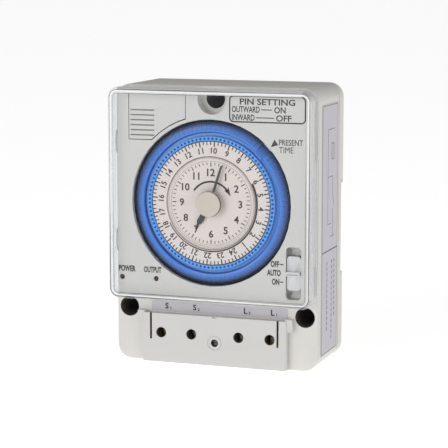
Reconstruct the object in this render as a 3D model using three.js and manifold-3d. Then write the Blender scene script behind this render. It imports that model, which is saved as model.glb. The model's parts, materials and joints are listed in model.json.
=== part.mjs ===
// A 24-hour programmable time switch with a mechanical dial, for a 35 mm rail or a wall.
// Millimetres, +Z up. The bench frame has x = 0 at the middle, y = 0 at the rear plane (the front
// is towards -Y) and z = 0 at the flat bottom. The outer group moves its origin to the rail seat.
import * as THREE from "three";
import { mergeVertices } from "three/addons/utils/BufferGeometryUtils.js";
import Module from "manifold-3d";

const wasm = await Module();
wasm.setup();

// ---------- driving dimensions ----------
const CASE_W = 81;
const CASE_H = 107;
const CASE_R = 5.6;
const WALL = 2;
const CASE_FRONT = -33.4;
const CASE_SPLIT = -5.8;
const GAP = 0.3;

const PANEL_LEFT = -38.2;
const PANEL_RIGHT = 39;
const PANEL_LOW = 26.9;
const PANEL_HIGH = 104.5;
const PANEL_R = 3;
const PANEL_FRONT = -38;
const PANEL_WALL = 1.2;
const PANEL_SKIN = 1.8;

const COVER_FRONT = -42.7;
const COVER_REAR = -33.7;
const COVER_LOW = 25.3;
const COVER_HIGH = 106.4;
const COVER_R = 4;
const COVER_WALL = 1.2;
const COVER_SKIN = 1.5;
const HINGE_X = -39.6;
const HINGE_Y = -34.6;
const HINGE_R = 0.9;
const HINGE_PIN_R = 0.45;
const HINGE_EARS = [[44, 50], [82, 88]];
const COVER_LIP = -38.3;

const RAIL_LOW = 33.4;
const RAIL_HIGH = 68.4;
const RAIL_FLOOR = -2.4;
const RAIL_MIDDLE = (RAIL_LOW + RAIL_HIGH) / 2;

const DIAL_X = -0.6;
const DIAL_Z = 63;
const DIAL_OPENING = 31.75;
const PIN_COUNT = 96;
const PIN_STEP = 360 / PIN_COUNT;
const PIN_OUTER = 31.3;
const PIN_INNER = 26.8;
const PIN_TRAVEL = 1.2;
const FIRST_LOOSE_PIN = 9;
const LOOSE_PINS = 6;
const PUSHED_IN = [2, 3];

const GEAR_DISTANCE = 12;
const MOTOR_DISTANCE = 15;
const GEAR_T = 1.2;
// Teeth of each meshing pair, the driver first.
const MOTOR_PAIR = [12, 36];
const MINUTE_PAIR = [8, 24];
const MOTION_PAIR = [8, 32];
const HOUR_PAIR = [10, 20];
const DAY_PAIR = [15, 15];

const TOP_HOLE = { x: 0, z: 102.2, rim: 5.7, bore: 3.7 };
const LOW_HOLE = { x: 35.5, z: 20.7, bore: 3.9 };
const TERMINAL_X = [-21.4, -9.05, 10, 22.45];
const TERMINAL_Z = 11.8;
const BAY = { half: 27.5, high: 18.4, back: -13.6 };
const SWITCH = { x: 32.2, z: 38, halfW: 3, halfH: 10 };
const LED_X = [-36.7, -22.7];
const LED_Z = 33;

const DOOR = { left: -33.6, right: -10.35, low: 86.2, arc: 33 };
const CELL = { left: -30, right: -13, y: -25, z: 95.5, r: 7 };

// ---------- materials ----------
const paint = (color, roughness, metalness = 0, opacity = 1) =>
  new THREE.MeshStandardMaterial({ color, roughness, metalness, opacity, transparent: opacity < 1 });
const CASE_GREY = paint(0xd7d5d0, 0.55);
const CLEAR = paint(0xeef2f4, 0.06, 0, 0.3);
const LIGHT_GREY = paint(0xdcdbd8, 0.5);
const KNOB_GREY = paint(0xcfcbc2, 0.45);
const DIAL_BLUE = paint(0x3560b4, 0.35);
const DIAL_WHITE = paint(0xeeecea, 0.6);
const INK = paint(0x2a2624, 0.5);
const LABEL = paint(0xbdbac0, 0.6);
const BLACK = paint(0x1d1c1c, 0.5);
const BRASS = paint(0xb9913f, 0.35, 0.9);
const STEEL = paint(0xb4b5b7, 0.3, 0.95);
const BOARD_GREEN = paint(0x2d5a35, 0.5);
const ACETAL = paint(0xe6e0cf, 0.4);
const CAP_RED = paint(0x8c3a2a, 0.4);
const LED_RED = paint(0x6b2620, 0.2);
const CELL_GREEN = paint(0x3f7a4c, 0.4);

// ---------- geometry helpers ----------
const ROUND = 32;
const SMALL_ROUND = 14;
const WIDE_ROUND = 48;

function solid(geometry) {
  const bare = geometry.clone();
  bare.deleteAttribute("normal");
  bare.deleteAttribute("uv");
  const merged = mergeVertices(bare, 1e-4);
  return new wasm.Manifold(new wasm.Mesh({
    numProp: 3,
    vertProperties: Float32Array.from(merged.attributes.position.array),
    triVerts: Uint32Array.from(merged.index.array),
  }));
}

function toGeometry(body) {
  const made = body.getMesh();
  const geometry = new THREE.BufferGeometry();
  geometry.setAttribute("position", new THREE.BufferAttribute(made.vertProperties, 3));
  geometry.setIndex(new THREE.BufferAttribute(made.triVerts, 1));
  geometry.computeVertexNormals();
  return geometry;
}

function box(x0, x1, y0, y1, z0, z1) {
  const geometry = new THREE.BoxGeometry(x1 - x0, y1 - y0, z1 - z0);
  geometry.translate((x0 + x1) / 2, (y0 + y1) / 2, (z0 + z1) / 2);
  return solid(geometry);
}

// A flat outline in X and Z, thick from y = front to y = back. A bevel rounds both long edges.
function plate(outline, front, back, bevel = 0) {
  const geometry = new THREE.ExtrudeGeometry(outline, {
    depth: back - front - 2 * bevel,
    curveSegments: 5,
    bevelEnabled: bevel > 0,
    bevelSize: bevel,
    bevelThickness: bevel,
    bevelOffset: -bevel,
    bevelSegments: 2,
  });
  geometry.rotateX(Math.PI / 2);
  geometry.translate(0, back - bevel, 0);
  return solid(geometry);
}

function roundedOutline(x0, x1, z0, z1, r) {
  const outline = new THREE.Shape();
  outline.moveTo(x0 + r, z0);
  outline.lineTo(x1 - r, z0);
  outline.absarc(x1 - r, z0 + r, r, -Math.PI / 2, 0);
  outline.lineTo(x1, z1 - r);
  outline.absarc(x1 - r, z1 - r, r, 0, Math.PI / 2);
  outline.lineTo(x0 + r, z1);
  outline.absarc(x0 + r, z1 - r, r, Math.PI / 2, Math.PI);
  outline.lineTo(x0, z0 + r);
  outline.absarc(x0 + r, z0 + r, r, Math.PI, 1.5 * Math.PI);
  return outline;
}

// A round bar along Y.
function rod(r, front, back, x = 0, z = 0, sides = SMALL_ROUND) {
  const geometry = new THREE.CylinderGeometry(r, r, back - front, sides);
  geometry.translate(x, (front + back) / 2, z);
  return solid(geometry);
}

// A round bar along Z.
function post(r, low, high, x, y, sides = SMALL_ROUND) {
  const geometry = new THREE.CylinderGeometry(r, r, high - low, sides);
  geometry.rotateX(Math.PI / 2);
  geometry.translate(x, y, (low + high) / 2);
  return solid(geometry);
}

// Twice the area inside an outline, positive when it runs anticlockwise.
const signedArea = (outline) => outline.reduce((sum, [r, y], i) => {
  const [nextR, nextY] = outline[(i + 1) % outline.length];
  return sum + r * nextY - nextR * y;
}, 0);

// A turned body about Y. The outline is a closed list of [radius, y], in either direction.
function turned(outline, sides = ROUND) {
  const ordered = signedArea(outline) > 0 ? outline : [...outline].reverse();
  const points = ordered.map(([r, y]) => new THREE.Vector2(r, y));
  return solid(new THREE.LatheGeometry([...points, points[0].clone()], sides));
}

const ring = (inner, outer, front, back, sides = ROUND) =>
  turned([[inner, front], [inner, back], [outer, back], [outer, front]], sides);

const joined = (first, ...others) => others.reduce((body, other) => body.add(other), first);
const without = (first, ...others) => others.reduce((body, other) => body.subtract(other), first);

const timer = new THREE.Group();
timer.position.set(0, -RAIL_FLOOR, -RAIL_MIDDLE);
const movement = new THREE.Group();
movement.position.set(DIAL_X, 0, DIAL_Z);
timer.add(movement);

function add(name, body, material, parent = timer) {
  const mesh = new THREE.Mesh(toGeometry(body), material);
  mesh.name = name;
  parent.add(mesh);
  return mesh;
}

// ---------- case ----------
function caseOutline(inset) {
  const half = CASE_W / 2 - inset;
  return roundedOutline(-half, half, inset, CASE_H - inset, CASE_R - inset);
}

function panelOutline(inset) {
  return roundedOutline(
    PANEL_LEFT + inset, PANEL_RIGHT - inset, PANEL_LOW + inset, PANEL_HIGH - inset, PANEL_R - inset);
}

const TUBE_WALL = 1.2;
const SCREW_SPOTS = [[-34.9, 101.4], [34.9, 101.4], [-34.9, 6], [34.9, 6]];
const PILLAR_SPOTS = [[-24, 57], [22.8, 57], [-12.6, 85], [11.4, 85]];

function frontHousing() {
  const shell = without(
    joined(
      plate(caseOutline(0), CASE_FRONT, CASE_SPLIT, 0.5),
      plate(panelOutline(0), PANEL_FRONT, CASE_FRONT + 1),
    ),
    plate(caseOutline(WALL), CASE_FRONT + WALL, CASE_SPLIT + 1),
    plate(panelOutline(PANEL_WALL), PANEL_FRONT + PANEL_SKIN, CASE_FRONT + WALL + 0.1),
  );
  const bayWall = 1.6;
  const bosses = SCREW_SPOTS.map(([x, z]) => rod(3, CASE_FRONT + 1, CASE_SPLIT, x, z, 12));
  const tubes = [-1, 1].map((side) =>
    rod(LOW_HOLE.bore + TUBE_WALL, CASE_FRONT + 1, CASE_SPLIT, side * LOW_HOLE.x, LOW_HOLE.z, 20));
  const topTube = joined(
    rod(TOP_HOLE.bore + TUBE_WALL, CASE_FRONT + 1, CASE_SPLIT, TOP_HOLE.x, TOP_HOLE.z, 20),
    rod(TOP_HOLE.rim + TUBE_WALL, PANEL_FRONT + 0.5, CASE_FRONT + 1, TOP_HOLE.x, TOP_HOLE.z, 24),
  );
  const envelope = joined(
    plate(caseOutline(0.6), CASE_FRONT + 0.6, CASE_SPLIT),
    plate(panelOutline(0.6), PANEL_FRONT + 0.4, CASE_FRONT + 1),
  );
  const bay = box(
    -BAY.half - bayWall, BAY.half + bayWall, CASE_FRONT + 1, BAY.back + bayWall, 1, BAY.high + bayWall);
  const inside = joined(bay, ...bosses, ...tubes, topTube).intersect(envelope);
  const skinBack = PANEL_FRONT + PANEL_SKIN;
  const doorWay = box(DOOR.left, DOOR.right, PANEL_FRONT - 1, skinBack + 0.1, DOOR.low, CASE_H)
    .subtract(rod(DOOR.arc, PANEL_FRONT - 2, CASE_FRONT, DIAL_X, DIAL_Z, WIDE_ROUND));
  const doorRail = box(
    DOOR.left - 1.3, DOOR.right + 1.3, skinBack, CASE_FRONT - 1.2, PANEL_HIGH - 2, CASE_H);
  const [slotLeft, slotRight] = [SWITCH.x - SWITCH.halfW, SWITCH.x + SWITCH.halfW];
  const slot = plate(
    roundedOutline(slotLeft, slotRight, SWITCH.z - SWITCH.halfH, SWITCH.z + SWITCH.halfH, 1.6),
    PANEL_FRONT - 1, skinBack + 1,
  );
  const cuts = [
    rod(DIAL_OPENING, PANEL_FRONT - 1, skinBack + 1, DIAL_X, DIAL_Z, WIDE_ROUND),
    box(-BAY.half, BAY.half, CASE_FRONT - 1, BAY.back, -1, BAY.high),
    ...[-1, 1].map((side) =>
      rod(LOW_HOLE.bore, CASE_FRONT - 1, CASE_SPLIT + 1, side * LOW_HOLE.x, LOW_HOLE.z, 20)),
    rod(TOP_HOLE.bore, CASE_FRONT - 1, CASE_SPLIT + 1, TOP_HOLE.x, TOP_HOLE.z, 20),
    rod(TOP_HOLE.rim, PANEL_FRONT - 1, CASE_FRONT, TOP_HOLE.x, TOP_HOLE.z, 24),
    ...LED_X.map((x) => rod(1.05, PANEL_FRONT - 1, CASE_FRONT + WALL + 0.5, x, LED_Z, 16)),
    ...SCREW_SPOTS.map(([x, z]) => rod(1.15, CASE_SPLIT - 12, CASE_SPLIT + 1, x, z, 12)),
    post(HINGE_PIN_R + 0.1, 20, CASE_H, HINGE_X, HINGE_Y, 10),
    doorWay, doorRail, slot,
  ];
  const ears = HINGE_EARS.map(([low, high]) => joined(
    post(HINGE_R - 0.05, low + 0.2, high - 0.2, HINGE_X, HINGE_Y, 16),
    box(HINGE_X - HINGE_R + 0.1, HINGE_X + HINGE_R - 0.05, HINGE_Y, CASE_FRONT + 0.8, low + 0.2, high - 0.2),
  ));
  return without(joined(shell, inside, ...ears), ...cuts);
}

const CLIP = { half: 9, tooth: 36.2, low: 1.2, peg: 12.3, pegTop: 14, springTop: 25.4 };

function rearCover() {
  const front = CASE_SPLIT + 0.2;
  const wall = 1.8;
  const pocket = (low, high, back) => plate(roundedOutline(-38.2, 38.2, low, high, 2), front - 1, back);
  const pillars = PILLAR_SPOTS.map(([x, z]) =>
    rod(2.6, -12.6, z > RAIL_HIGH ? -1.5 : RAIL_FLOOR - 1, x, z, 16));
  const envelope = plate(caseOutline(0.6), front, -0.4);
  const holeBoss = [
    rod(LOW_HOLE.bore + TUBE_WALL, front, -0.5, LOW_HOLE.x, LOW_HOLE.z),
    rod(LOW_HOLE.bore + TUBE_WALL, front, -0.5, -LOW_HOLE.x, LOW_HOLE.z),
    rod(TOP_HOLE.bore + 0.8, front, -0.5, TOP_HOLE.x, TOP_HOLE.z - 0.6),
  ].map((boss) => boss.intersect(envelope));
  const clipGuide = box(-CLIP.half - 3, CLIP.half + 3, front, -1, 2.5, RAIL_LOW);
  const shell = without(
    plate(caseOutline(0), front, 0),
    pocket(2.2, 30.6, -wall),
    pocket(31.8, 69.6, RAIL_FLOOR - wall),
    pocket(71.4, 104.8, -wall),
  );
  const screwHoles = SCREW_SPOTS.flatMap(([x, z]) =>
    [rod(1.4, front - 1, 1, x, z, 12), rod(2.7, -2.6, 1, x, z, 12)]);
  const screwPads = SCREW_SPOTS.map(([x, z]) => rod(4.1, front, -0.5, x, z, 12).intersect(envelope));
  const wallHoles = [[TOP_HOLE.x, TOP_HOLE.z], [LOW_HOLE.x, LOW_HOLE.z], [-LOW_HOLE.x, LOW_HOLE.z]]
    .map(([x, z]) => rod(2.3, front - 1, 1, x, z, 16));
  const sinks = [[TOP_HOLE.x, TOP_HOLE.z, 3.6], [LOW_HOLE.x, LOW_HOLE.z, 3.9], [-LOW_HOLE.x, LOW_HOLE.z, 3.9]]
    .map(([x, z, r]) => rod(r, front - 1, -2, x, z, 16));
  const body = joined(shell, clipGuide, ...pillars, ...holeBoss, ...screwPads);
  const channel = box(-CASE_W, CASE_W, RAIL_FLOOR, 1, RAIL_LOW, RAIL_HIGH);
  const lipGroove = box(-CASE_W, CASE_W, RAIL_FLOOR, -1.1, RAIL_HIGH - 1, RAIL_HIGH + 1.4);
  const clipGroove = joined(
    box(-CLIP.half, CLIP.half, -3.4, 1, -1, RAIL_LOW + 1),
    box(-CLIP.half - 1.5, CLIP.half + 1.5, -3.4, -1.9, -1, RAIL_LOW + 0.5),
  );
  const peg = box(-2, 2, -3.6, -0.6, CLIP.peg, CLIP.pegTop);
  return joined(without(body, channel, lipGroove, clipGroove, ...wallHoles, ...sinks, ...screwHoles), peg);
}

function caseScrew(x, z) {
  const screw = turned([
    [0, -16.5], [0.95, -15.5], [0.95, -2.4], [2.4, -2.4], [2.4, -1.4], [1.8, -0.7], [0, -0.7],
  ], 14);
  const slots = [box(-1.4, 1.4, -1.7, 0, -0.25, 0.25), box(-0.25, 0.25, -1.7, 0, -1.4, 1.4)];
  return without(screw, ...slots).translate([x, 0, z]);
}

// ---------- clear cover on its side hinge ----------
function clearCover() {
  const outline = (inset) => roundedOutline(
    -CASE_W / 2 + inset, CASE_W / 2 - inset, COVER_LOW + inset, COVER_HIGH - inset, COVER_R - inset);
  const cap = plate(outline(0), COVER_FRONT, COVER_REAR + 3, 1.1);
  const hollow = plate(outline(COVER_WALL), COVER_FRONT + COVER_SKIN, COVER_REAR + 4);
  const barrel = post(HINGE_R, COVER_LOW + 5, COVER_HIGH - 5, HINGE_X, HINGE_Y, 16);
  const edge = box(-CASE_W, HINGE_X, HINGE_Y, 0, 0, CASE_H + 1)
    .subtract(post(HINGE_R, 0, CASE_H + 1, HINGE_X, HINGE_Y, 16));
  const earRooms = HINGE_EARS.map(([low, high]) =>
    box(-CASE_W, HINGE_X + HINGE_R + 0.3, HINGE_Y - HINGE_R - 0.1, 0, low, high));
  const pinWays = HINGE_EARS.map(([low, high]) =>
    post(HINGE_PIN_R + 0.1, low - 1.5, high + 1.5, HINGE_X, HINGE_Y, 10));
  const doorLip = box(HINGE_X + 4.3, 33, COVER_LIP, 0, PANEL_HIGH, CASE_H + 1);
  const fingerStep = box(CASE_W / 2 - 2, CASE_W, COVER_REAR - 1.2, 0, 40, 80);
  const ribInner = CASE_W / 2 - COVER_WALL - 0.15;
  const catchRib = box(ribInner, CASE_W / 2 - 0.6, COVER_REAR - 3.4, COVER_REAR - 2.8, 46, 74);
  const rear = box(-CASE_W, CASE_W, COVER_REAR, 10, 0, CASE_H + 5);
  const body = joined(without(cap, hollow), barrel, catchRib);
  return without(body, rear, edge, doorLip, fingerStep, ...earRooms, ...pinWays);
}

// ---------- battery door, holder and cell ----------
function batteryDoor() {
  const skinBack = PANEL_FRONT + PANEL_SKIN;
  const low = DOOR.low + GAP;
  const face = box(DOOR.left + GAP, DOOR.right - GAP, PANEL_FRONT, skinBack + 0.4, low, PANEL_HIGH);
  const tongue = box(
    DOOR.left - 1, DOOR.right + 1, skinBack + 0.3, CASE_FRONT - 1.5, low, PANEL_HIGH - 0.1);
  const dialClearance = rod(DOOR.arc + 0.4, PANEL_FRONT - 2, CASE_FRONT, DIAL_X, DIAL_Z, WIDE_ROUND);
  const grip = Array.from({ length: 6 }, (_, i) => {
    const z = 88.1 + i * 1.9;
    return box(-32.7, -23.1, PANEL_FRONT - 1, PANEL_FRONT + 0.35, z - 0.25, z + 0.25);
  });
  return without(joined(face, tongue), dialClearance, ...grip);
}

function batteryHolder() {
  const [left, right] = [CELL.left - 2.2, CELL.right + 2.2];
  const [webFront, webBack] = [CELL.y + CELL.r + 0.4, CELL.y + CELL.r + 1.8];
  const [floor, low] = [CELL.z - CELL.r - 1.6, CELL.z - 6];
  const back = box(left, right, webFront, webBack, low, CELL.z + 2);
  const endLeft = box(left, left + 1, CELL.y - 5, webBack - 0.8, low, CELL.z + 2);
  const endRight = box(right - 1, right, CELL.y + 1, webBack - 0.8, low, CELL.z + 7);
  const shelf = box(left, CELL.right - 6, CELL.y - 3, webBack - 0.8, floor, floor + 1.2);
  const web = box(left, CELL.right - 6, webFront, webBack, floor, CELL.z - 5);
  return joined(back, endLeft, endRight, shelf, web);
}

function backupCell() {
  const geometry = new THREE.LatheGeometry([
    [0, 0], [6.3, 0], [6.8, 0.5], [6.8, 15.4], [6.3, 15.8], [2.6, 15.8], [2.6, 16.6], [0, 16.6],
  ].map(([r, y]) => new THREE.Vector2(r, y)), 32);
  geometry.rotateZ(-Math.PI / 2);
  geometry.translate(CELL.left + 0.2, CELL.y, CELL.z);
  return solid(geometry);
}

// ---------- terminal end ----------
const TCOVER = { half: 28.9, high: 19.2, front: -36.3, skin: 1.9 };

function terminalCover() {
  const { half, high, front, skin } = TCOVER;
  const face = plate(roundedOutline(-half, half, 0.2, high, 0.4), front, front + skin);
  const rear = CASE_FRONT - GAP;
  const sides = [
    box(-half, 1.2 - half, front + 1, rear, 0.2, high - 0.3),
    box(half - 1.2, half, front + 1, rear, 0.2, high - 0.3),
  ];
  const ears = [
    box(-half - 2.3, 0.5 - half, front + 0.4, rear, 15.1, 19.9),
    box(half - 0.5, half + 2.3, front + 0.4, rear, 15.1, 19.9),
  ];
  const boss = rod(2.8, front + 0.5, -31.4, 0.4, 9, 16);
  const slits = [-25.6, 25.6].map((x) => box(x - 0.4, x + 0.4, front - 1, front + skin + 1, 9.05, high + 1));
  const holes = TERMINAL_X.map((x) => rod(2.05, front - 1, front + skin + 1, x, TERMINAL_Z, 16));
  const ringCut = ring(2.65, 2.85, front - 1, front + 0.25, 16).translate([0.4, 0, 9]);
  const screwHole = joined(rod(1.5, front - 1, -33.4, 0.4, 9), rod(0.95, front - 1, -30, 0.4, 9, 12));
  const notch = box(-0.6, 1.4, front - 1, front + 0.8, high - 0.6, high + 1);
  return without(joined(face, ...sides, ...ears, boss), ...slits, ...holes, ringCut, screwHole, notch);
}

function coverScrew() {
  const screw = turned([
    [0, -34.9], [1.2, -34.9], [1.35, -34.6], [1.35, -33.6], [0.8, -33.6], [0.8, -27], [0, -26.2],
  ], 14);
  return screw.subtract(box(-1.6, 1.6, -36, -34.4, -0.2, 0.2)).translate([0.4, 0, 9]);
}

const BLOCK = { front: -29.5, back: -14, low: 5.4, high: 17.9, half: 27.1 };

function terminalBlock() {
  const base = box(-BLOCK.half, BLOCK.half, BLOCK.front, BLOCK.back, BLOCK.low, BLOCK.high);
  const wells = TERMINAL_X.map((x) =>
    box(x - 3.9, x + 3.9, BLOCK.front - 1, -16, BLOCK.low - 1, BLOCK.high - 1.4));
  const screwWay = rod(1.1, BLOCK.front - 1, -22, 0.4, 9, 12);
  return without(base, ...wells, screwWay);
}

function terminalClamp(x) {
  const cage = box(x - 3.5, x + 3.5, -24.6, -16.5, 7.2, 15.6);
  const wireWay = box(x - 2.3, x + 2.3, -23.2, -17.8, 5, 17);
  return without(cage, wireWay, rod(1.35, -26, -20, x, TERMINAL_Z, 12));
}

function terminalScrew(x) {
  const screw = turned([
    [0, -28.6], [2.4, -28.6], [2.6, -28.2], [2.6, -26.6], [1.2, -26.6], [1.2, -20.6], [0, -20.2],
  ], 16);
  const slots = [box(-3, 3, -30, -27.8, -0.35, 0.35), box(-0.3, 0.3, -30, -27.9, -1.5, 1.5)];
  return without(screw, ...slots).translate([x, 0, TERMINAL_Z]);
}

// ---------- rail clip ----------
function dinClip() {
  const blade = box(-CLIP.half + 0.3, CLIP.half - 0.3, -2.95, -0.35, CLIP.low, RAIL_LOW - 0.4);
  const tongues = box(-CLIP.half - 1.2, CLIP.half + 1.2, -3.1, -2.15, CLIP.low + 4, RAIL_LOW - 0.5);
  const tooth = box(-CLIP.half + 0.3, CLIP.half - 0.3, -1.05, -0.35, RAIL_LOW - 1, CLIP.tooth);
  const spring = box(-2.4, 2.4, -4, 1, CLIP.peg - 4.5, CLIP.springTop + 0.3);
  const driverSlot = box(-3, 3, -4, 1, CLIP.low + 1.6, CLIP.low + 3.4);
  return without(joined(blade, tongues, tooth), spring, driverSlot);
}

class Helix extends THREE.Curve {
  constructor(r, pitch, turns) {
    super();
    Object.assign(this, { r, pitch, turns });
  }

  getPoint(t, target = new THREE.Vector3()) {
    const angle = t * this.turns * 2 * Math.PI;
    return target.set(this.r * Math.cos(angle), this.r * Math.sin(angle), t * this.turns * this.pitch);
  }
}

function roundWire(wire, sides) {
  const middle = new THREE.Vector2();
  const corner = (i) => new THREE.Vector2(wire, 0).rotateAround(middle, (2 * Math.PI * i) / sides);
  return new THREE.Shape(Array.from({ length: sides }, (_, i) => corner(i)));
}

function clipSpring() {
  const wire = 0.25;
  const turns = 5;
  const low = CLIP.pegTop + 0.3 + wire;
  const pitch = (CLIP.springTop - wire - 0.1 - low) / turns;
  const geometry = new THREE.ExtrudeGeometry(roundWire(wire, 5), {
    steps: turns * 9,
    bevelEnabled: false,
    extrudePath: new Helix(1, pitch, turns),
  });
  geometry.translate(0, -1.65, low);
  return solid(geometry);
}

// ---------- gears ----------
// The outline of one spur gear. Each flank is a straight line from root to tip between the points
// that an involute would give there.
function gearOutline(teeth, module, phase) {
  const pitch = (teeth * module) / 2;
  const base = pitch * Math.cos(THREE.MathUtils.degToRad(20));
  const tip = pitch + 0.7 * module;
  const root = pitch - 1.05 * module;
  const roll = (r) => (r > base ? Math.sqrt((r / base) ** 2 - 1) - Math.acos(base / r) : 0);
  const halfTooth = (0.25 * 2 * Math.PI) / teeth - (0.1 * module) / pitch;
  const halfAngle = (r) => halfTooth + roll(pitch) - roll(r);
  const points = [];
  for (let i = 0; i < teeth; i += 1) {
    const centre = phase + (i * 2 * Math.PI) / teeth;
    points.push([root, centre - halfAngle(root)], [tip, centre - halfAngle(tip)]);
    points.push([tip, centre + halfAngle(tip)], [root, centre + halfAngle(root)]);
  }
  return new THREE.Shape(points.map(([r, a]) => new THREE.Vector2(r * Math.cos(a), r * Math.sin(a))));
}

const LAYER = { day: -27.2, hour: -22.8, motion: -20.9, minute: -18.8, centre: -16.8 };
const EAST = 0;
const WEST = Math.PI;
const SOUTH = -Math.PI / 2;
const NORTH = Math.PI / 2;

// One gear of a pair. The driver shows a tooth towards its mate and the driven one shows a space.
function gear(pair, member, distance, towards, front) {
  const module = (2 * distance) / (pair[0] + pair[1]);
  const teeth = pair[member];
  const phase = towards + (member === 1 ? Math.PI / teeth : 0);
  return plate(gearOutline(teeth, module, phase), front, front + GEAR_T);
}

function minuteArbor() {
  return joined(
    rod(0.8, -39.7, -13.2),
    gear(MINUTE_PAIR, 0, GEAR_DISTANCE, WEST, LAYER.minute),
    gear(MOTOR_PAIR, 1, MOTOR_DISTANCE, SOUTH, LAYER.centre),
  );
}

function hourWheel() {
  const gears = joined(
    gear(HOUR_PAIR, 0, GEAR_DISTANCE, EAST, LAYER.hour),
    gear(MOTION_PAIR, 1, GEAR_DISTANCE, WEST, LAYER.motion),
  );
  return joined(ring(0.95, 1.8, -38.3, LAYER.motion + GEAR_T, 16), gears.subtract(rod(1.4, -30, -10)));
}

function motionWheel() {
  const body = joined(
    gear(MINUTE_PAIR, 1, GEAR_DISTANCE, EAST, LAYER.minute),
    gear(MOTION_PAIR, 0, GEAR_DISTANCE, EAST, LAYER.motion),
    rod(1.6, LAYER.motion, LAYER.minute + GEAR_T),
  );
  return body.subtract(rod(0.85, -30, -10));
}

function dayIdler() {
  return joined(
    rod(1.2, LAYER.day - 0.4, LAYER.hour + GEAR_T + 0.3),
    gear(HOUR_PAIR, 1, GEAR_DISTANCE, WEST, LAYER.hour),
    gear(DAY_PAIR, 0, GEAR_DISTANCE, WEST, LAYER.day),
  );
}

function motorPinion() {
  return joined(
    gear(MOTOR_PAIR, 0, MOTOR_DISTANCE, NORTH, LAYER.centre),
    rod(1, LAYER.centre - 0.4, -11.2),
  );
}

// ---------- movement frame ----------
const PLATE_R = 27;
const FRONT_PLATE = -25.2;
const REAR_PLATE = -14.6;
const PLATE_T = 1.6;

function movementFrontPlate() {
  const disc = ring(2.1, PLATE_R, FRONT_PLATE, FRONT_PLATE + PLATE_T, ROUND);
  const tube = ring(2.1, 3.1, -36.2, FRONT_PLATE + 0.5, 24);
  const posts = [90, 210, 330].map((deg) => {
    const a = THREE.MathUtils.degToRad(deg);
    return rod(2, FRONT_PLATE + 1, REAR_PLATE - 0.25, 23 * Math.cos(a), 23 * Math.sin(a), 16);
  });
  const stud = rod(0.75, FRONT_PLATE + 1, -17.2, -GEAR_DISTANCE, 0, 16);
  return joined(disc, tube, ...posts, stud).subtract(rod(1.32, -30, -20, GEAR_DISTANCE, 0, 16));
}

function movementRearPlate() {
  const disc = ring(0.95, PLATE_R, REAR_PLATE, REAR_PLATE + PLATE_T, ROUND);
  return disc.subtract(rod(1.4, -20, -10, 0, -MOTOR_DISTANCE, 16));
}

function motorCase() {
  const can = turned([[0, -12.6], [12.6, -12.6], [13, -12.2], [13, -6.6], [12.4, -6.2], [0, -6.2]], 40)
    .translate([0, 0, -6.5]);
  return can.subtract(rod(1.4, -14, -10.8, 0, -MOTOR_DISTANCE, 16));
}

// ---------- dial ----------
const PLATE_FRONT = -37.6;
const RING_BACK = -33.1;

function dayDial() {
  const dish = turned([
    [3.4, -26], [4.6, -26], [4.6, -35], [23.4, -35],
    [23.4, PLATE_FRONT], [17.9, PLATE_FRONT], [17.9, -36.2], [3.4, -36.2],
  ], WIDE_ROUND);
  const wheel = gear(DAY_PAIR, 1, GEAR_DISTANCE, EAST, LAYER.day)
    .subtract(rod(3.6, -30, -20, 0, 0, WIDE_ROUND));
  return joined(dish, wheel);
}

function pinCarrier() {
  return turned([
    [23.7, RING_BACK], [23.7, -37.5], [24.2, -37.9], [25, -37.9],
    [25.4, -37.5], [25.4, -34.6], [30.4, -34.6], [30.4, RING_BACK],
  ], WIDE_ROUND);
}

// A pin's section, from its inner end over the crown to its low outer end.
const PIN_SECTION = [
  [PIN_INNER, -34.9], [PIN_INNER, -37.1], [27.5, -37.5], [28.8, -37.3], [30.2, -36.5], [PIN_OUTER, -34.9],
];

// Part of the round row of pins, from one angle to another, in degrees.
function pinRow(fromDeg, toDeg, steps) {
  const count = PIN_SECTION.length;
  const positions = [];
  const indices = [];
  for (let i = 0; i <= steps; i += 1) {
    const a = THREE.MathUtils.degToRad(fromDeg + ((toDeg - fromDeg) * i) / steps);
    for (const [r, y] of PIN_SECTION) positions.push(r * Math.cos(a), y, r * Math.sin(a));
  }
  for (let i = 0; i < steps; i += 1) {
    for (let j = 0; j < count; j += 1) {
      const [p, q] = [i * count + j, i * count + ((j + 1) % count)];
      indices.push(p, q, q + count, p, q + count, p + count);
    }
  }
  const last = steps * count;
  for (let j = 1; j < count - 1; j += 1) {
    indices.push(0, j + 1, j);
    indices.push(last, last + j, last + j + 1);
  }
  const geometry = new THREE.BufferGeometry();
  geometry.setAttribute("position", new THREE.BufferAttribute(new Float32Array(positions), 3));
  geometry.setIndex(indices);
  const made = solid(geometry);
  if (made.volume() > 0) return made;
  const flipped = [];
  for (let i = 0; i < indices.length; i += 3) flipped.push(indices[i], indices[i + 2], indices[i + 1]);
  geometry.setIndex(flipped);
  return solid(geometry);
}

function loosePin(index) {
  const from = (FIRST_LOOSE_PIN + index) * PIN_STEP;
  const margin = 0.3;
  const body = pinRow(from + margin, from + PIN_STEP - margin, 2);
  const middle = THREE.MathUtils.degToRad(from + PIN_STEP / 2);
  const inward = PUSHED_IN.includes(index) ? -PIN_TRAVEL : 0;
  return body.translate([inward * Math.cos(middle), 0, inward * Math.sin(middle)]);
}

function pinRing() {
  const from = (FIRST_LOOSE_PIN + LOOSE_PINS) * PIN_STEP + 0.3;
  const to = 360 + FIRST_LOOSE_PIN * PIN_STEP - 0.3;
  return pinRow(from, to, 54);
}

function clockFace() {
  return turned([
    [2.1, -36.5], [2.1, -37.3], [16.6, -37.3], [16.8, -37.7], [17.5, -37.7], [17.5, -36.5],
  ], WIDE_ROUND);
}

// ---------- hands and setting knob ----------
const clockAngle = (degrees) => Math.PI / 2 - THREE.MathUtils.degToRad(degrees);
const MINUTE_ANGLE = clockAngle(18);
const HOUR_ANGLE = clockAngle(211.5);

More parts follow.
